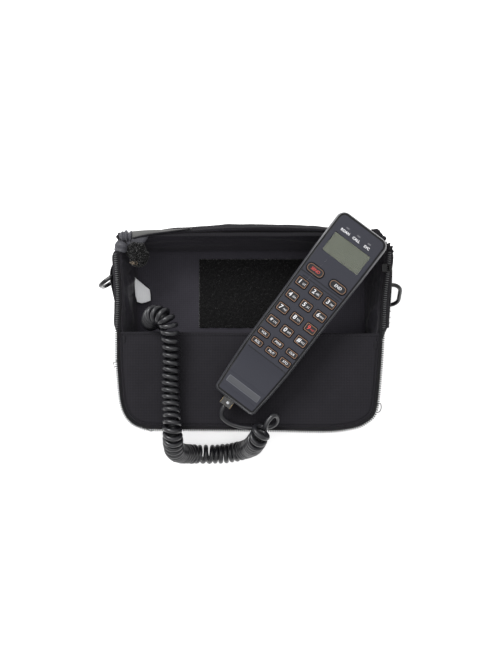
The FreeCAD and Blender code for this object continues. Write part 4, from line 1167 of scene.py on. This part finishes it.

# cover cloth showing along the upper left, with its piping; its light grey colour is painted highlight on the dark
# outer cloth
band_o = catmull([P(x, y, 60.8) for x, y in ((131, 231.2), (142, 230.2), (152, 229.7), (165, 229.4), (178, 228.9), (192, 228.4))], 8)
band_i = catmull([P(x, y, 61.0) for x, y in ((132.6, 238.3), (142.5, 235.9), (152.9, 233.9), (165, 232.2), (178, 230.4), (192, 228.9))], 8)
nb = 70
bo, bi_ = resample(band_o, nb), resample(band_i, nb)
rows_ = []
for t, lift in ((0.0, -0.5), (0.06, 0.35), (0.3, 0.9), (0.6, 1.1), (0.85, 0.95), (1.0, 0.6)):
    r_ = bo + (bi_ - bo) * t
    r_[:, 2] += lift + 0.35 * np.sin(np.linspace(0, 9, nb) + t * 2) * (0.4 + t)
    rows_.append(r_)
for t in (1.0, 0.5, 0.0):
    r_ = bo + (bi_ - bo) * t
    r_[:, 2] -= 1.2
    rows_.append(r_)
tv = np.stack(rows_, 1).reshape(-1, 3)
m = len(rows_)
tf = []
for i in range(nb - 1):
    for k in range(m):
        l = (k + 1) % m
        tf.append((i * m + k, i * m + l, (i + 1) * m + l, (i + 1) * m + k))
tf.append(tuple(range(m)))
tf.append(tuple((nb - 1) * m + k for k in range(m))[::-1])
parts = [(tv, tf, 0)]
# wedge of lavender-grey lining turned over at the corner
wedge = [P(x, y, z) for x, y, z in ((126.0, 238.6, 61.3), (133.6, 238.2, 61.8), (142.5, 236.1, 61.8), (148.6, 236.3, 61.2), (145.6, 241.0, 60.6), (142.5, 244.8, 59.8), (134, 246.2, 59.8), (127.0, 246.0, 60.6))]
wc = np.mean(wedge, axis=0) + np.array((0, 0, 0.5))
wv = [wc] + [wc + (w - wc) * 0.55 + np.array((0, 0, 0.15)) for w in wedge] + list(wedge) + [w - np.array((0, 0, 1.4)) for w in wedge] + [wc - np.array((0, 0, 2.0))]
wf = []
for i in range(8):
    j = (i + 1) % 8
    wf += [(0, 1 + i, 1 + j), (1 + i, 9 + i, 9 + j, 1 + j), (9 + i, 17 + i, 17 + j, 9 + j), (25, 17 + j, 17 + i)]
parts.append((np.array(wv), wf, 1))
v_, f_, m_ = join(parts)
make("turned_over_cloth", v_, f_, ["cover", "satin"], body="bag", slot="bag_cloth", fmat=m_)
pipe = catmull([P(x, y, z) for x, y, z in ((133.2, 238.3, 62.3), (142.5, 236.0, 62.4), (152.9, 234.0, 62.3), (165, 232.3, 62.2), (178, 230.6, 62.0), (190, 229.0, 61.6))], 10)
v_, f_ = sweep(resample(pipe, 60), 0.75, sides=8)
make("corner_piping", v_, f_, "outer", body="bag", slot="bag_cloth")

# gathered cloth where the zip ends run out at both upper corners
def bunch(name, line, radii, mat, seed, ribs=9.0, amp=0.6, flat=0.8, body="bag", slot="bag_cloth"):
    ln = resample(catmull(line, 12), 110)
    rr = np.interp(np.linspace(0, 1, 110), np.linspace(0, 1, len(radii)), radii)
    rr = rr * (1 + amp * 0.22 * np.sin(np.linspace(0, ribs * 2 * math.pi, 110)) + 0.10 * np.sin(np.linspace(0, ribs * 5.3, 110) + seed))
    v_, f_ = sweep(ln, rr, sides=28, flat=flat)
    d = fbm(v_, 0.22, seed, 3) * 0.55
    c_ = v_ - np.repeat(np.vstack([ln]), 28, 0)[:len(v_)] if len(v_) == 110 * 28 else None
    k = 110 * 28
    cc = np.repeat(ln, 28, 0)
    u_ = v_[:k] - cc
    u_ /= np.linalg.norm(u_, axis=1)[:, None] + 1e-6
    v_[:k] += u_ * d[:k, None]
    return v_, f_


parts = []
v_, f_ = bunch("a", [P(131.2, 236.4, 60.2), P(127.5, 236.0, 60.6), P(124.4, 236.4, 60.3), P(120.6, 237.0, 58.6)], [4.6, 5.0, 4.7, 4.0], "cover", 1.0, ribs=3.2)
parts.append((v_, f_, 0))
v_, f_ = bunch("b", [P(120.9, 233.6, 57.0), P(120.0, 237.0, 58.4), P(121.0, 241.0, 58.2)], [2.6, 3.4, 2.6], "cover", 3.0, ribs=2.4)
parts.append((v_, f_, 1))
v_, f_ = bunch("c", [P(124.6, 232.2, 57.0), P(123.6, 236.6, 60.4), P(124.4, 241.6, 58.6)], [1.4, 1.9, 1.4], "cover", 4.0, ribs=2.0)
parts.append((v_, f_, 0))
v_, f_, m_ = join(parts)
make("gathered_corner_left", v_, f_, ["satin", "tape"], body="bag", slot="bag_cloth", fmat=m_)
parts = []
v_, f_ = bunch("d", [P(371.0, 232.6, 58.8), P(376.0, 231.8, 59.4), P(379.6, 236.0, 59.6), P(384.6, 240.6, 59.0)], [2.4, 3.2, 3.3, 2.8], "satin", 5.0, ribs=3.5)
parts.append((v_, f_, 0))
v_, f_ = bunch("e", [P(384.2, 244.2, 58.0), P(388.2, 246.6, 58.6), P(390.6, 250.2, 57.6), P(389.2, 253.6, 56.0)], [2.6, 3.1, 2.8, 2.0], "tape", 7.0, ribs=4.2, amp=1.1)
parts.append((v_, f_, 1))
v_, f_, m_ = join(parts)
make("gathered_corner_right", v_, f_, ["outer", "tape"], body="bag", slot="bag_cloth", fmat=m_)

# folded ribbon over the left corner
rp_ = [P(114.8, 247.0, 61.8), P(117.6, 245.6, 64.6), P(121.0, 246.4, 65.6), P(124.4, 247.6, 64.4), P(127.0, 248.6, 61.8)]
ln = resample(catmull(rp_, 12), 50)
dirs = np.array((0.12, 1.0, 0.18))
wid = np.interp(np.linspace(0, 1, 50), [0, 0.15, 0.5, 0.85, 1.0], [6.4, 9.6, 10.6, 9.0, 5.6])
v_, f_ = ribbon(ln, tuple(dirs), wid, 0.7, rows=16)
v_[:, 2] += 0.45 * np.sin(v_[:, 1] * 1.1 + v_[:, 0] * 0.25) + fbm(v_, 0.16, 71.0, 2) * 0.5
rib_ob = make("ribbon_tab", v_, f_, "satin", body="bag", slot="webbing")

# curl of looped pile tape sticking out below it, and its torn fibres
v_, f_ = bunch("f", [P(127.6, 249.2, 59.4), P(133.0, 247.0, 61.4), P(138.4, 247.4, 61.6), P(142.0, 251.6, 60.6), P(143.6, 257.2, 58.8), P(140.6, 262.4, 57.0), P(135.6, 262.6, 56.4), P(131.6, 259.0, 56.2)],
               [2.6, 3.8, 5.0, 5.2, 5.0, 4.4, 3.8, 2.6], "fuzz", 9.0, ribs=6.3, amp=0.25, flat=0.55)
rng = np.random.default_rng(11)
v_ = v_ + (rng.random(v_.shape) - 0.5) * 1.5
parts = [(v_, f_, 0)]
v_, f_ = bunch("g", [P(128.0, 251.2, 57.8), P(132.4, 253.6, 59.2), P(136.6, 257.2, 59.4), P(137.6, 261.6, 57.6)], [2.8, 4.2, 4.2, 3.0], "fuzz", 12.0, ribs=4.1, amp=0.3, flat=0.6)
v_ = v_ + (rng.random(v_.shape) - 0.5) * 1.5
parts.append((v_, f_, 0))
for k in range(46):
    a_ = P(130.8 + rng.random() * 7.2, 261.2 + rng.random() * 3.6, 59.6 + rng.random() * 1.8)
    d_ = np.array((rng.normal() * 1.2, rng.normal() * 0.8, rng.normal() * 0.5))
    path = np.array([a_, a_ + d_ * 0.5 + np.array((0, 0, 0.3)), a_ + d_])
    v_, f_ = sweep(path, 0.07, sides=4)
    parts.append((v_, f_, 1))
v_, f_, m_ = join(parts)
make("pile_curl", v_, f_, ["fuzz", "tan"], body="bag", slot="loop_pile", fmat=m_)

# white label standing out of the left seam
lab_px = [(134.5, 277), (141.6, 283.0), (149.6, 289.6), (150.5, 294.5), (150.6, 300.6), (146.2, 302.3), (141.2, 303.3), (137.2, 301.8), (135.4, 295.6), (134.6, 286)]
lab = np.array([P(x, y, 13.5 + 8.0 * (150.5 - x) / 16) for x, y in lab_px])
lab_o = resample(lab, 80, closed=True)
cen = lab_o.mean(0)
vs = []
for k, dz in ((1.0, 0.0), (0.94, 0.22), (0.6, 0.3), (0.3, 0.3)):
    q = cen + (lab_o - cen) * k
    q[:, 2] += dz + 0.25 * np.sin(q[:, 0] * 0.5 + q[:, 1] * 0.3)
    vs.append(q)
q = lab_o.copy()
q[:, 2] += -0.35 + 0.25 * np.sin(q[:, 0] * 0.5 + q[:, 1] * 0.3)
vs.insert(0, q)
fs = []
for i in range(4):
    for k in range(80):
        l = (k + 1) % 80
        fs.append((i * 80 + k, i * 80 + l, (i + 1) * 80 + l, (i + 1) * 80 + k))
fs.append(tuple(4 * 80 + k for k in range(80)))
fs.append(tuple(range(80))[::-1])
lab_ob = make("blank_label", np.vstack(vs), fs, "label", body="bag", slot="label_cloth", stands_for=("sewn_label",))

# loose threads at the zip's lower corners
parts = []
for line in ([(117.2, 360, 61.6), (115.6, 362.4, 61.2), (114.0, 362.0, 60.8), (113.2, 364.8, 60.2)], [(117.0, 366, 61.8), (115.0, 366.4, 61.0), (113.8, 367.8, 60.4)],
             [(377.4, 404.4, 61.6), (380.4, 403.6, 61.8), (381.2, 407.6, 61.4), (379.6, 411.6, 61.2), (376.4, 412.4, 61.0), (374.8, 410.6, 61.0)],
             [(146.0, 426.4, 61.6), (148.0, 429.8, 61.8), (151.0, 431.2, 61.2), (153.6, 430.0, 61.0)]):
    ln = resample(catmull([P(*q) for q in line], 10), 40)
    v_, f_ = sweep(ln, 0.42, sides=6)
    parts.append((v_, f_, 0))
v_, f_, m_ = join(parts)
make("loose_threads", v_, f_, "thread", body="bag", slot="bag_cloth")

# ------------------------------------------------------------------ handset
HSO = [(28.0, 104.0, 8.5), (28.0, 60.0, 0.0), (26.6, 0.0, 0.0), (26.2, -50.0, 0.0), (24.8, -75.0, 0.0), (22.4, -101.0, 5.0)]
FACE_W = 27.0


def hs_loop(inset, per=2.0):
    """Outline of the handset moved in by inset, always with the same number of points."""
    pts = []
    right = [(x, y, r) for x, y, r in HSO]
    raw = right + [(-x, y, r) for x, y, r in reversed(right)]
    n = len(raw)
    for i, (x, y, r) in enumerate(raw):
        px_, py_ = raw[i - 1][:2]
        qx, qy = raw[(i + 1) % n][:2]
        a_ = np.array((px_ - x, py_ - y), float)
        b_2 = np.array((qx - x, qy - y), float)
        la, lb = np.linalg.norm(a_), np.linalg.norm(b_2)
        a_, b_2 = a_ / la, b_2 / lb
        if r <= 0:
            pts.append(("c", np.array((x, y), float), None, None, None))
            continue
        half = math.acos(max(-1, min(1, float(a_ @ b_2)))) / 2
        t = r / math.tan(half)
        bis = (a_ + b_2) / np.linalg.norm(a_ + b_2)
        c = np.array((x, y)) + bis * (r / math.sin(half))
        s, e = np.array((x, y)) + a_ * t, np.array((x, y)) + b_2 * t
        a0, a1 = math.atan2(*(s - c)[::-1]), math.atan2(*(e - c)[::-1])
        d = (a1 - a0 + math.pi) % (2 * math.pi) - math.pi
        for k in range(13):
            a2 = a0 + d * k / 12
            pts.append(("a", c + r * np.array((math.cos(a2), math.sin(a2))), None, None, None))
    base = np.array([p[1] for p in pts])
    # fill the straight runs
    dense = []
    for i in range(len(base)):
        p0, p1 = base[i], base[(i + 1) % len(base)]
        d = np.linalg.norm(p1 - p0)
        k = max(1, int(d / per))
        for j in range(k):
            dense.append(p0 + (p1 - p0) * j / k)
    c = np.array(dense)
    if inset == 0:
        return c
    t = np.roll(c, -1, 0) - np.roll(c, 1, 0)
    t /= np.linalg.norm(t, axis=1)[:, None]
    nrm = np.stack([t[:, 1], -t[:, 0]], 1)
    if np.sum(c[:, 0] * np.roll(c[:, 1], -1) - np.roll(c[:, 0], -1) * c[:, 1]) > 0:
        nrm = -nrm
    return c + nrm * inset


def w_top(v):
    """Height of the face along the handset, with the shallow trough near its lower end."""
    v = np.asarray(v, float)
    d = np.clip(78.0 ** 2 - (v + 74.0) ** 2, 0, None)
    w = FACE_W - 3.6 + 78.0 - np.sqrt(d)
    k = np.minimum(FACE_W, w)
    return np.where(np.abs(v + 74) < 30, k, FACE_W)


def rrect(u, v, w, h, r, n=5):
    out_ = []
    for cx_, cy_, a0 in ((u + w / 2 - r, v + h / 2 - r, 0), (u - w / 2 + r, v + h / 2 - r, 90), (u - w / 2 + r, v - h / 2 + r, 180), (u + w / 2 - r, v - h / 2 + r, 270)):
        for k in range(n):
            a_ = math.radians(a0 + 90 * k / (n - 1))
            out_.append((cx_ + r * math.cos(a_), cy_ + r * math.sin(a_)))
    return np.array(out_)


KEYS = [("key_send", -13.0, 41.8, 18.0, 8.8, 4.0), ("key_end", 13.0, 41.8, 18.0, 8.8, 4.0)]
for row, v_ in zip((("1", "2", "3"), ("4", "5", "6"), ("7", "8", "9"), ("star", "0", "hash")), (25.3, 10.4, -4.3, -18.9)):
    for nme, c in zip(row, (-1, 0, 1)):
        KEYS.append(("key_" + nme, c * 16.05, v_, 11.6, 8.2, 1.5))
for row, v_ in zip((("vol", "pwr", "clr"), ("rcl", "mute", "sto")), (-32.9, -43.1)):
    for nme, c in zip(row, (-1, 0, 1)):
        KEYS.append(("key_" + nme, c * 16.05, v_, 11.6, 5.8, 1.5))
LEDS = [(-12.5, 91.3), (0.0, 91.3), (12.2, 91.3)]

FIN = 3.7
face_loop = hs_loop(FIN)
holes = []
for nme, u, v_, w, h, r in KEYS:
    g = 0.35
    holes.append([rrect(u, v_, w + 2 * g + e, h + 2 * g + e, r + g + e / 2, 6) for e in (1.1, 0.35, 0.0)] + [(0.0, -0.10, -0.55, -2.3)])
holes.append([rrect(0.2, 72.0, 40.4 + e, 20.8 + e, 0.5 + e / 2, 4) for e in (1.0, 0.3, 0.0)] + [(0.0, -0.05, -0.4, -2.3)])
for u, v_ in LEDS:
    holes.append([rrect(u, v_, 3.4 + e, 1.4 + e, 0.3 + e / 2, 4) for e in (0.5, 0.2, 0.0)] + [(0.0, -0.05, -0.2, -2.3)])
BADGE = rrect(0.0, -85.3, 35.9, 6.9, 0.9, 5)

# constraint lines: grooves of the face
lines2 = []
for v_c, u0_, u1_ in ((35.0, -40, 40), (31.7, -20, 23), (-50.6, -21, 26), (-78.9, -40, 40), (-91.7, -40, 40)):
    for dv in (-0.55, -0.25, 0.25, 0.55):
        lines2.append((v_c + dv, u0_, u1_))

pts_ = [face_loop]
edges_ = []
n_f = len(face_loop)
edges_ += [(i, (i + 1) % n_f) for i in range(n_f)]
cnt = n_f
for hset in holes:
    lp = hset[0]
    pts_.append(lp)
    edges_ += [(cnt + i, cnt + (i + 1) % len(lp)) for i in range(len(lp))]
    cnt += len(lp)
pts_.append(BADGE)
edges_ += [(cnt + i, cnt + (i + 1) % len(BADGE)) for i in range(len(BADGE))]
cnt += len(BADGE)
gu, gv = np.meshgrid(np.arange(-27, 27.1, 2.0), np.arange(-100, 100.1, 1.6))
gp = np.stack([gu.ravel(), gv.ravel()], 1)
extra = []
for v_c, u0_, u1_ in lines2:
    for u in np.arange(-27, 27.1, 1.0):
        if u0_ <= u <= u1_:
            extra.append((u, v_c))
gp = np.vstack([gp, np.array(extra)])
dd, _, _ = seg_dist(gp, np.vstack([face_loop, face_loop[:1]]))
ok = inside(face_loop, gp) & (dd > 0.5)
for hset in holes:
    lp = hset[0]
    near_h = (np.abs(gp[:, 0] - lp[:, 0].mean()) < 24) & (np.abs(gp[:, 1] - lp[:, 1].mean()) < 14)
    idx = np.where(near_h & ok)[0]
    if len(idx):
        ins = inside(lp, gp[idx])
        d2, _, _ = seg_dist(gp[idx], np.vstack([lp, lp[:1]]))
        ok[idx[ins | (d2 < 0.3)]] = False
pts_.append(gp[ok])
allp = np.vstack(pts_)
res = delaunay_2d_cdt([Vector(p) for p in allp], edges_, [], 0, 1e-5)
fv = np.array([tuple(q) for q in res[0]])
cands = [tuple(t) for t in res[2] if len(t) == 3]
cent = fv[np.array(cands)].mean(1)
good = inside(face_loop, cent)
for hset in holes:
    good &= ~inside(hset[0], cent)
tris = [t for t, g_ in zip(cands, good) if g_]


def groove_depth(u, v):
    d = np.zeros(len(u))
    for v_c, u0_, u1_, dep in ((35.0, -40, 40, 0.45), (31.7, -20, 23, 0.35), (-50.6, -21, 26, 0.40), (-78.9, -40, 40, 0.16), (-91.7, -40, 40, 0.16)):
        on = (u > u0_) & (u < u1_) & (np.abs(v - v_c) < 0.35)
        d = np.where(on, np.maximum(d, dep), d)
    return d


fz = w_top(fv[:, 1]) - groove_depth(fv[:, 0], fv[:, 1])
parts = []
flat_mat = []
# grooves across the face take the near-black groove colour, painted shade
for t in tris:
    c = fv[list(t)].mean(0)
    in_g = any(abs(c[1] - v_c) < 0.30 and u0_ < c[0] < u1_ for v_c, u0_, u1_ in ((35.0, -40, 40), (31.7, -20, 23), (-50.6, -21, 26)))
    flat_mat.append(2 if in_g else 0)
verts = [np.column_stack([fv, fz])]
faces = list(tris)
mats_i = list(flat_mat)
nv = len(fv)
# matching inner face
fzi = np.minimum(w_top(fv[:, 1]) - 2.0, 25.0)
verts.append(np.column_stack([fv, fzi]))
faces += [tuple(i + nv for i in t[::-1]) for t in tris]
mats_i += [0] * len(tris)
cnt = 2 * nv


def nearest_ids(loop, arr):
    return [int(np.argmin((arr[:, 0] - p[0]) ** 2 + (arr[:, 1] - p[1]) ** 2)) for p in loop]


# walls of the holes; their deep part takes the near-black groove colour, painted shade in the recess
for hset in holes:
    loops, ws = hset[:3], hset[3]
    top_ids = nearest_ids(loops[0], fv)
    prev = top_ids
    n_ = len(loops[0])
    for lp, dw in ((loops[1], ws[1]), (loops[2], ws[2]), (loops[2], ws[3])):
        ids = list(range(cnt, cnt + n_))
        verts.append(np.column_stack([lp, w_top(lp[:, 1]) + dw]))
        cnt += n_
        for i in range(n_):
            j = (i + 1) % n_
            faces.append((prev[i], prev[j], ids[j], ids[i]))
            mats_i.append(2 if dw < -1 else 0)
        prev = ids
    bot = [q + nv for q in top_ids]
    for i in range(n_):
        j = (i + 1) % n_
        faces.append((prev[i], prev[j], bot[j], bot[i]))
        mats_i.append(0)
# rim, sides and their inner faces
ids_face = nearest_ids(face_loop, fv)
prev = ids_face
# the bevel band (material 1) takes the lighter rim colour, a painted highlight
prof_rim = [(3.62, -0.02, 0), (3.45, -0.65, 2), (3.05, -0.95, 2), (2.45, -0.95, 2), (2.10, -0.60, 2), (2.0, -0.02, 1), (1.75, 0.02, 1), (1.45, -0.35, 1), (0.9, -1.75, 1), (0.45, -3.1, 1), (0.15, -4.3, 1), (0.0, -5.4, 0),
            (0.0, -9.5, 0), (0.0, -13.75, 0), (0.15, -14.0, 0), (2.4, -14.0, 0), (2.6, -13.7, 0), (2.6, -2.6, 0)]
# the step between bevel and face (material 2) takes the near-black groove colour, painted shade
for ins_, dw, mi in prof_rim:
    lp = hs_loop(ins_)
    wt = w_top(lp[:, 1])
    sh = np.clip((27.0 + dw - 13.0) / 8.0, 0, 1)
    w = 27.0 + dw - (27.0 - wt) * sh
    ids = list(range(cnt, cnt + n_f))
    verts.append(np.column_stack([lp, w]))
    cnt += n_f
    for i in range(n_f):
        j = (i + 1) % n_f
        faces.append((prev[i], prev[j], ids[j], ids[i]))
        mats_i.append(mi)
    prev = ids
bot = [q + nv for q in ids_face]
for i in range(n_f):
    j = (i + 1) % n_f
    faces.append((prev[i], prev[j], bot[j], bot[i]))
    mats_i.append(0)
allv = np.vstack(verts)
hs_front = make("handset_face", H(allv), faces, ["shell", "rim", "groove"], body="handset", slot="handset_plastic", stands_for=("handset_front_shell",), fmat=mats_i, sharp=38, merge=0.0)

# keys
K_LINE = {"key_send", "key_end"}


def build_key(nme, u, v_, w, h, r):
    vs, fs, ms = [], [], []
    prof_ = [(-0.8, 23.2, 0), (-0.8, 24.2, 0), (0.0, 24.2, 0), (0.0, 27.35, 0), (0.06, 27.75, 0), (0.22, 28.0, 0), (0.42, 28.12, 1), (0.98, 28.16, 1), (1.10, 28.14, 0), (1.6, 28.06, 0), (2.3, 27.98, 0)]
    if nme in K_LINE:
        prof_ = prof_[:6] + [(0.62, 28.12, 0), (0.72, 28.14, 1), (1.18, 28.16, 1), (1.30, 28.14, 0), (1.8, 28.08, 0), (2.6, 28.0, 0)]
    n_ = 4 * 6
    for i, (ins_, ww, mi) in enumerate(prof_):
        lp = rrect(u, v_, w - 2 * ins_, h - 2 * ins_, max(0.15, r - ins_), 6)
        vs.append(np.column_stack([lp, np.full(n_, ww)]))
        if i:
            for k in range(n_):
                l = (k + 1) % n_
                fs.append(((i - 1) * n_ + k, (i - 1) * n_ + l, i * n_ + l, i * n_ + k))
                ms.append(1 if (prof_[i][2] == 1 and prof_[i - 1][2] == 1) else 0)
    m_ = len(prof_)
    fs.append(tuple((m_ - 1) * n_ + k for k in range(n_)))
    ms.append(0)
    fs.append(tuple(range(n_))[::-1])
    ms.append(0)
    return np.vstack(vs), fs, ms


def letters(text, size, u, v_, w, align="CENTER", squeeze=1.0, slant=0.0, bold=0.0):
    """Flat printing: verts and faces in the handset's own axes."""
    cu = bpy.data.curves.new("print", "FONT")
    cu.body = text
    cu.size = 1.0
    cu.align_x = align
    cu.align_y = "CENTER"
    cu.shear = slant
    cu.offset = bold
    cu.extrude = 0.01
    cu.resolution_u = 3
    ob = bpy.data.objects.new("print", cu)
    me = bpy.data.meshes.new_from_object(ob)
    vs = np.array([v.co for v in me.vertices])
    fs = [tuple(p.vertices) for p in me.polygons]
    bpy.data.objects.remove(ob)
    bpy.data.meshes.remove(me)
    bpy.data.curves.remove(cu)
    hgt_ = size / 0.73
    vs = vs * np.array((hgt_ * squeeze, hgt_, 6.0))
    vs[:, 0] += u
    vs[:, 1] += v_ - 0.0
    vs[:, 2] = w + vs[:, 2]
    return vs, fs


LETTER = {"key_1": ("1", "QZ"), "key_2": ("2", "ABC"), "key_3": ("3", "DEF"), "key_4": ("4", "GHI"), "key_5": ("5", "JKL"), "key_6": ("6", "MNO"), "key_7": ("7", "PRS"), "key_8": ("8", "TUV"),
          "key_9": ("9", "WXY"), "key_star": ("*", "STO"), "key_0": ("0", "OPR"), "key_hash": ("#", "RCL")}
SMALL = {"key_vol": "VOL", "key_pwr": "PWR", "key_clr": "CLR", "key_rcl": "RCL", "key_mute": "MUT", "key_sto": "STO"}
for nme, u, v_, w, h, r in KEYS:
    vs, fs, ms = build_key(nme, u, v_, w, h, r)
    ps = [(vs, fs, 0)]
    allv, allf, _ = join(ps)
    fm = list(ms)
    pr = []
    if nme in LETTER:
        a_, b_3 = LETTER[nme]
        pr.append(letters(a_, 4.3 if a_ != "*" else 4.6, u - 2.3, v_ + (0.1 if a_ != "*" else -0.9), 27.99, squeeze=0.95, slant=0.12, bold=0.022))
        pr.append(letters(b_3, 1.75, u + 2.35, v_ - 0.2, 27.99, squeeze=0.92, slant=0.12, bold=0.004))
    elif nme in SMALL:
        pr.append(letters(SMALL[nme], 2.1, u, v_, 27.99, squeeze=1.02, slant=0.16, bold=0.012))
    else:
        pr.append(letters("SEND" if nme == "key_send" else "END", 2.9, u, v_, 28.0, squeeze=0.95, slant=0.16, bold=0.012))
    mats_k = ["keycap", "keyline", "red" if nme in ("key_send", "key_9") else "white"]
    for pv_, pf_ in pr:
        base = len(allv)
        allv = np.vstack([allv, pv_])
        allf = allf + [tuple(i + base for i in q) for q in pf_]
        fm += [2] * len(pf_)
    if nme == "key_9":
        pass
    make(nme + "_cap", H(allv), allf, mats_k, body=nme, slot="key_plastic", stands_for=(nme,), fmat=fm, sharp=40)

# printing on the face
pr = []
for t, u in (("ROAM", -12.5), ("CALL", 0.0), ("SVC", 12.2)):
    pr.append((*letters(t, 2.5, u, 87.3, 27.0, squeeze=1.0, slant=0.0, bold=0.03), 0))
v_, f_, m_ = join(pr)
make("indicator_words", H(v_), f_, "white", body="handset", slot="handset_plastic")

# badge: blank plate with a faint outline
loops_b, fs, ms = [], [], []
prof_b = [(0.0, 0.02, 0), (0.15, 0.10, 1), (0.5, 0.12, 1), (0.6, 0.08, 0), (1.4, 0.08, 0)]
n_ = 20
for i, (ins_, dw, mi) in enumerate(prof_b):
    lp = resample(rrect(0.0, -85.3, 35.6 - 2 * ins_, 6.6 - 2 * ins_, max(0.2, 0.8 - ins_), 5), 120, closed=True)
    loops_b.append(np.column_stack([lp, w_top(lp[:, 1]) + dw]))
    if i:
        for k in range(120):
            l = (k + 1) % 120
            fs.append(((i - 1) * 120 + k, (i - 1) * 120 + l, i * 120 + l, i * 120 + k))
            ms.append(1 if mi == 1 and prof_b[i - 1][2] == 1 else 0)
last = (len(prof_b) - 1) * 120
bvts = np.vstack(loops_b)
fs.append(tuple(last + k for k in range(120)))
ms.append(0)
lowp = bvts[:120].copy()
lowp[:, 2] -= 0.5
fs += [(len(bvts) + k, len(bvts) + (k + 1) % 120, (k + 1) % 120, k) for k in range(120)]
ms += [0] * 120
fs.append(tuple(len(bvts) + k for k in range(120))[::-1])
ms.append(0)
make("blank_badge", H(np.vstack([bvts, lowp])), fs, ["badge", "badge_line"], body="handset", slot="handset_plastic", stands_for=("badge_plate",), fmat=ms, sharp=40)

# display: materials for the display cell, its window and the indicator lenses
for nme, mat in (("display_module", "lcd"), ("display_window", "window"), ("indicator_lenses", "led")):
    for ob in bpy.data.objects:
        if ob.name == nme and ob.type == "MESH":
            for i in range(max(1, len(ob.material_slots))):
                if not ob.material_slots:
                    ob.data.materials.append(M[mat])
                else:
                    ob.material_slots[i].material = M[mat]

# eight contacts inside the clear plug
parts = []
for k in range(8):
    u = -4.5 + (k - 3.5) * 1.02
    path = np.array([(u, -108.2, 12.2), (u, -104.0, 12.6), (u, -98.0, 13.0), (u, -92.0, 15.9)])
    v_, f_ = sweep(path, 0.22, sides=6)
    parts.append((v_, f_, 0))
for du in (-5.5, 5.5):
    path = np.array([(-4.5 + du, -108.3, 16.0), (-4.5 + du, -101.5, 16.0)])
    v_, f_ = sweep(path, 0.28, sides=6)
    parts.append((v_, f_, 0))
v_, f_, m_ = join(parts)
make("plug_contacts", H(v_), f_, "gold", body="handset", slot="connector_metal")

# a light grey latch piece in the clear plug; its pale colour is a painted glint
vs, fs = [], []
for ins_, z in ((0.0, 15.8), (0.0, 18.0), (0.35, 18.3), (0.8, 18.4)):
    for k in range(20):
        t = 2 * math.pi * k / 20
        vs.append((-3.6 + (1.45 - ins_) * math.copysign(abs(math.cos(t)) ** 0.7, math.cos(t)), -104.7 + (1.35 - ins_) * math.copysign(abs(math.sin(t)) ** 0.7, math.sin(t)), z))
for i in range(3):
    for k in range(20):
        l = (k + 1) % 20
        fs.append((i * 20 + k, i * 20 + l, (i + 1) * 20 + l, (i + 1) * 20 + k))
fs.append(tuple(range(20))[::-1])
fs.append(tuple(60 + k for k in range(20)))
make("plug_latch", H(np.array(vs)), fs, "latch", body="handset", slot="plug_clear")

# ------------------------------------------------------------------ materials of the nodes that stay as they are
NODE_MATS = {
    "handset_rear_shell": "shell", "handset_plug": "clear", "radio_plug": "clear", "handset_cord_socket": "socket", "earpiece_speaker": "socket", "microphone": "screw",
    "handset_screws": "screw", "keypad_board": "pcb", "keypad_mat": "rubber", "radio_case_lower": "case", "radio_case_upper": "case", "radio_board": "pcb",
    "radio_cord_socket": "socket", "power_inlet": "socket", "antenna_socket": "gold", "radio_case_screws": "screw", "battery_pack": "case",     "zip_pull": "zipmetal", "sewn_label": "label", "strap_webbing": "web", "d_ring_left": "ring", "d_ring_right": "ring", "lid_strip": "outer", "lid_panel": "outer",
    "lid_zip_chain": "teeth_dark", "display_module": "lcd", "display_window": "window", "indicator_lenses": "led",
}
for ob in list(bpy.data.objects):
    if ob.type == "MESH" and ob.name in NODE_MATS:
        mat = M[NODE_MATS[ob.name]]
        if not ob.material_slots:
            ob.data.materials.append(mat)
        else:
            for s_ in ob.material_slots:
                s_.material = mat



# ------------------------------------------------------------------ light, floor and end
def floor():
    me = bpy.data.meshes.new("floor")
    s = 3.0
    me.from_pydata([(-s, -s, 0), (s, -s, 0), (s, s, 0), (-s, s, 0)], [], [(0, 1, 2, 3)])
    m, nt, b = new_mat("floor_paper")
    b.inputs["Base Color"].default_value = (0.96, 0.96, 0.96, 1)
    b.inputs["Emission Color"].default_value = (1.0, 1.0, 1.0, 1)
    b.inputs["Emission Strength"].default_value = 0.62
    b.inputs["Roughness"].default_value = 0.9
    b.inputs["Specular IOR Level"].default_value = 0.1
    me.materials.append(m)
    ob = bpy.data.objects.new("floor", me)
    scene.collection.objects.link(ob)
    ob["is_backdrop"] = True


floor()
world = bpy.data.worlds.new("studio")
world.use_nodes = True
bg = next(n for n in world.node_tree.nodes if n.type == "BACKGROUND")
bg.inputs[0].default_value = (1.0, 1.0, 1.0, 1.0)
bg.inputs[1].default_value = 0.55
scene.world = world


def area(name, loc, target, size, power):
    d = bpy.data.lights.new(name, "AREA")
    d.shape = "SQUARE"
    d.size = size
    d.energy = power
    o = bpy.data.objects.new(name, d)
    o.location = loc
    o.rotation_euler = (Vector(target) - Vector(loc)).to_track_quat("-Z", "Y").to_euler()
    scene.collection.objects.link(o)
    return o


area("key", (-0.75, 0.95, 1.25), (0, 0, 0), 0.8, 20.0)
area("top", (0.0, 0.0, 2.0), (0, 0, 0), 1.6, 10.0)
scene.view_settings.view_transform = "Standard"
scene.view_settings.look = "None"
scene.view_settings.exposure = 0.0
scene.view_settings.gamma = 1.0

lo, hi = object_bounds()
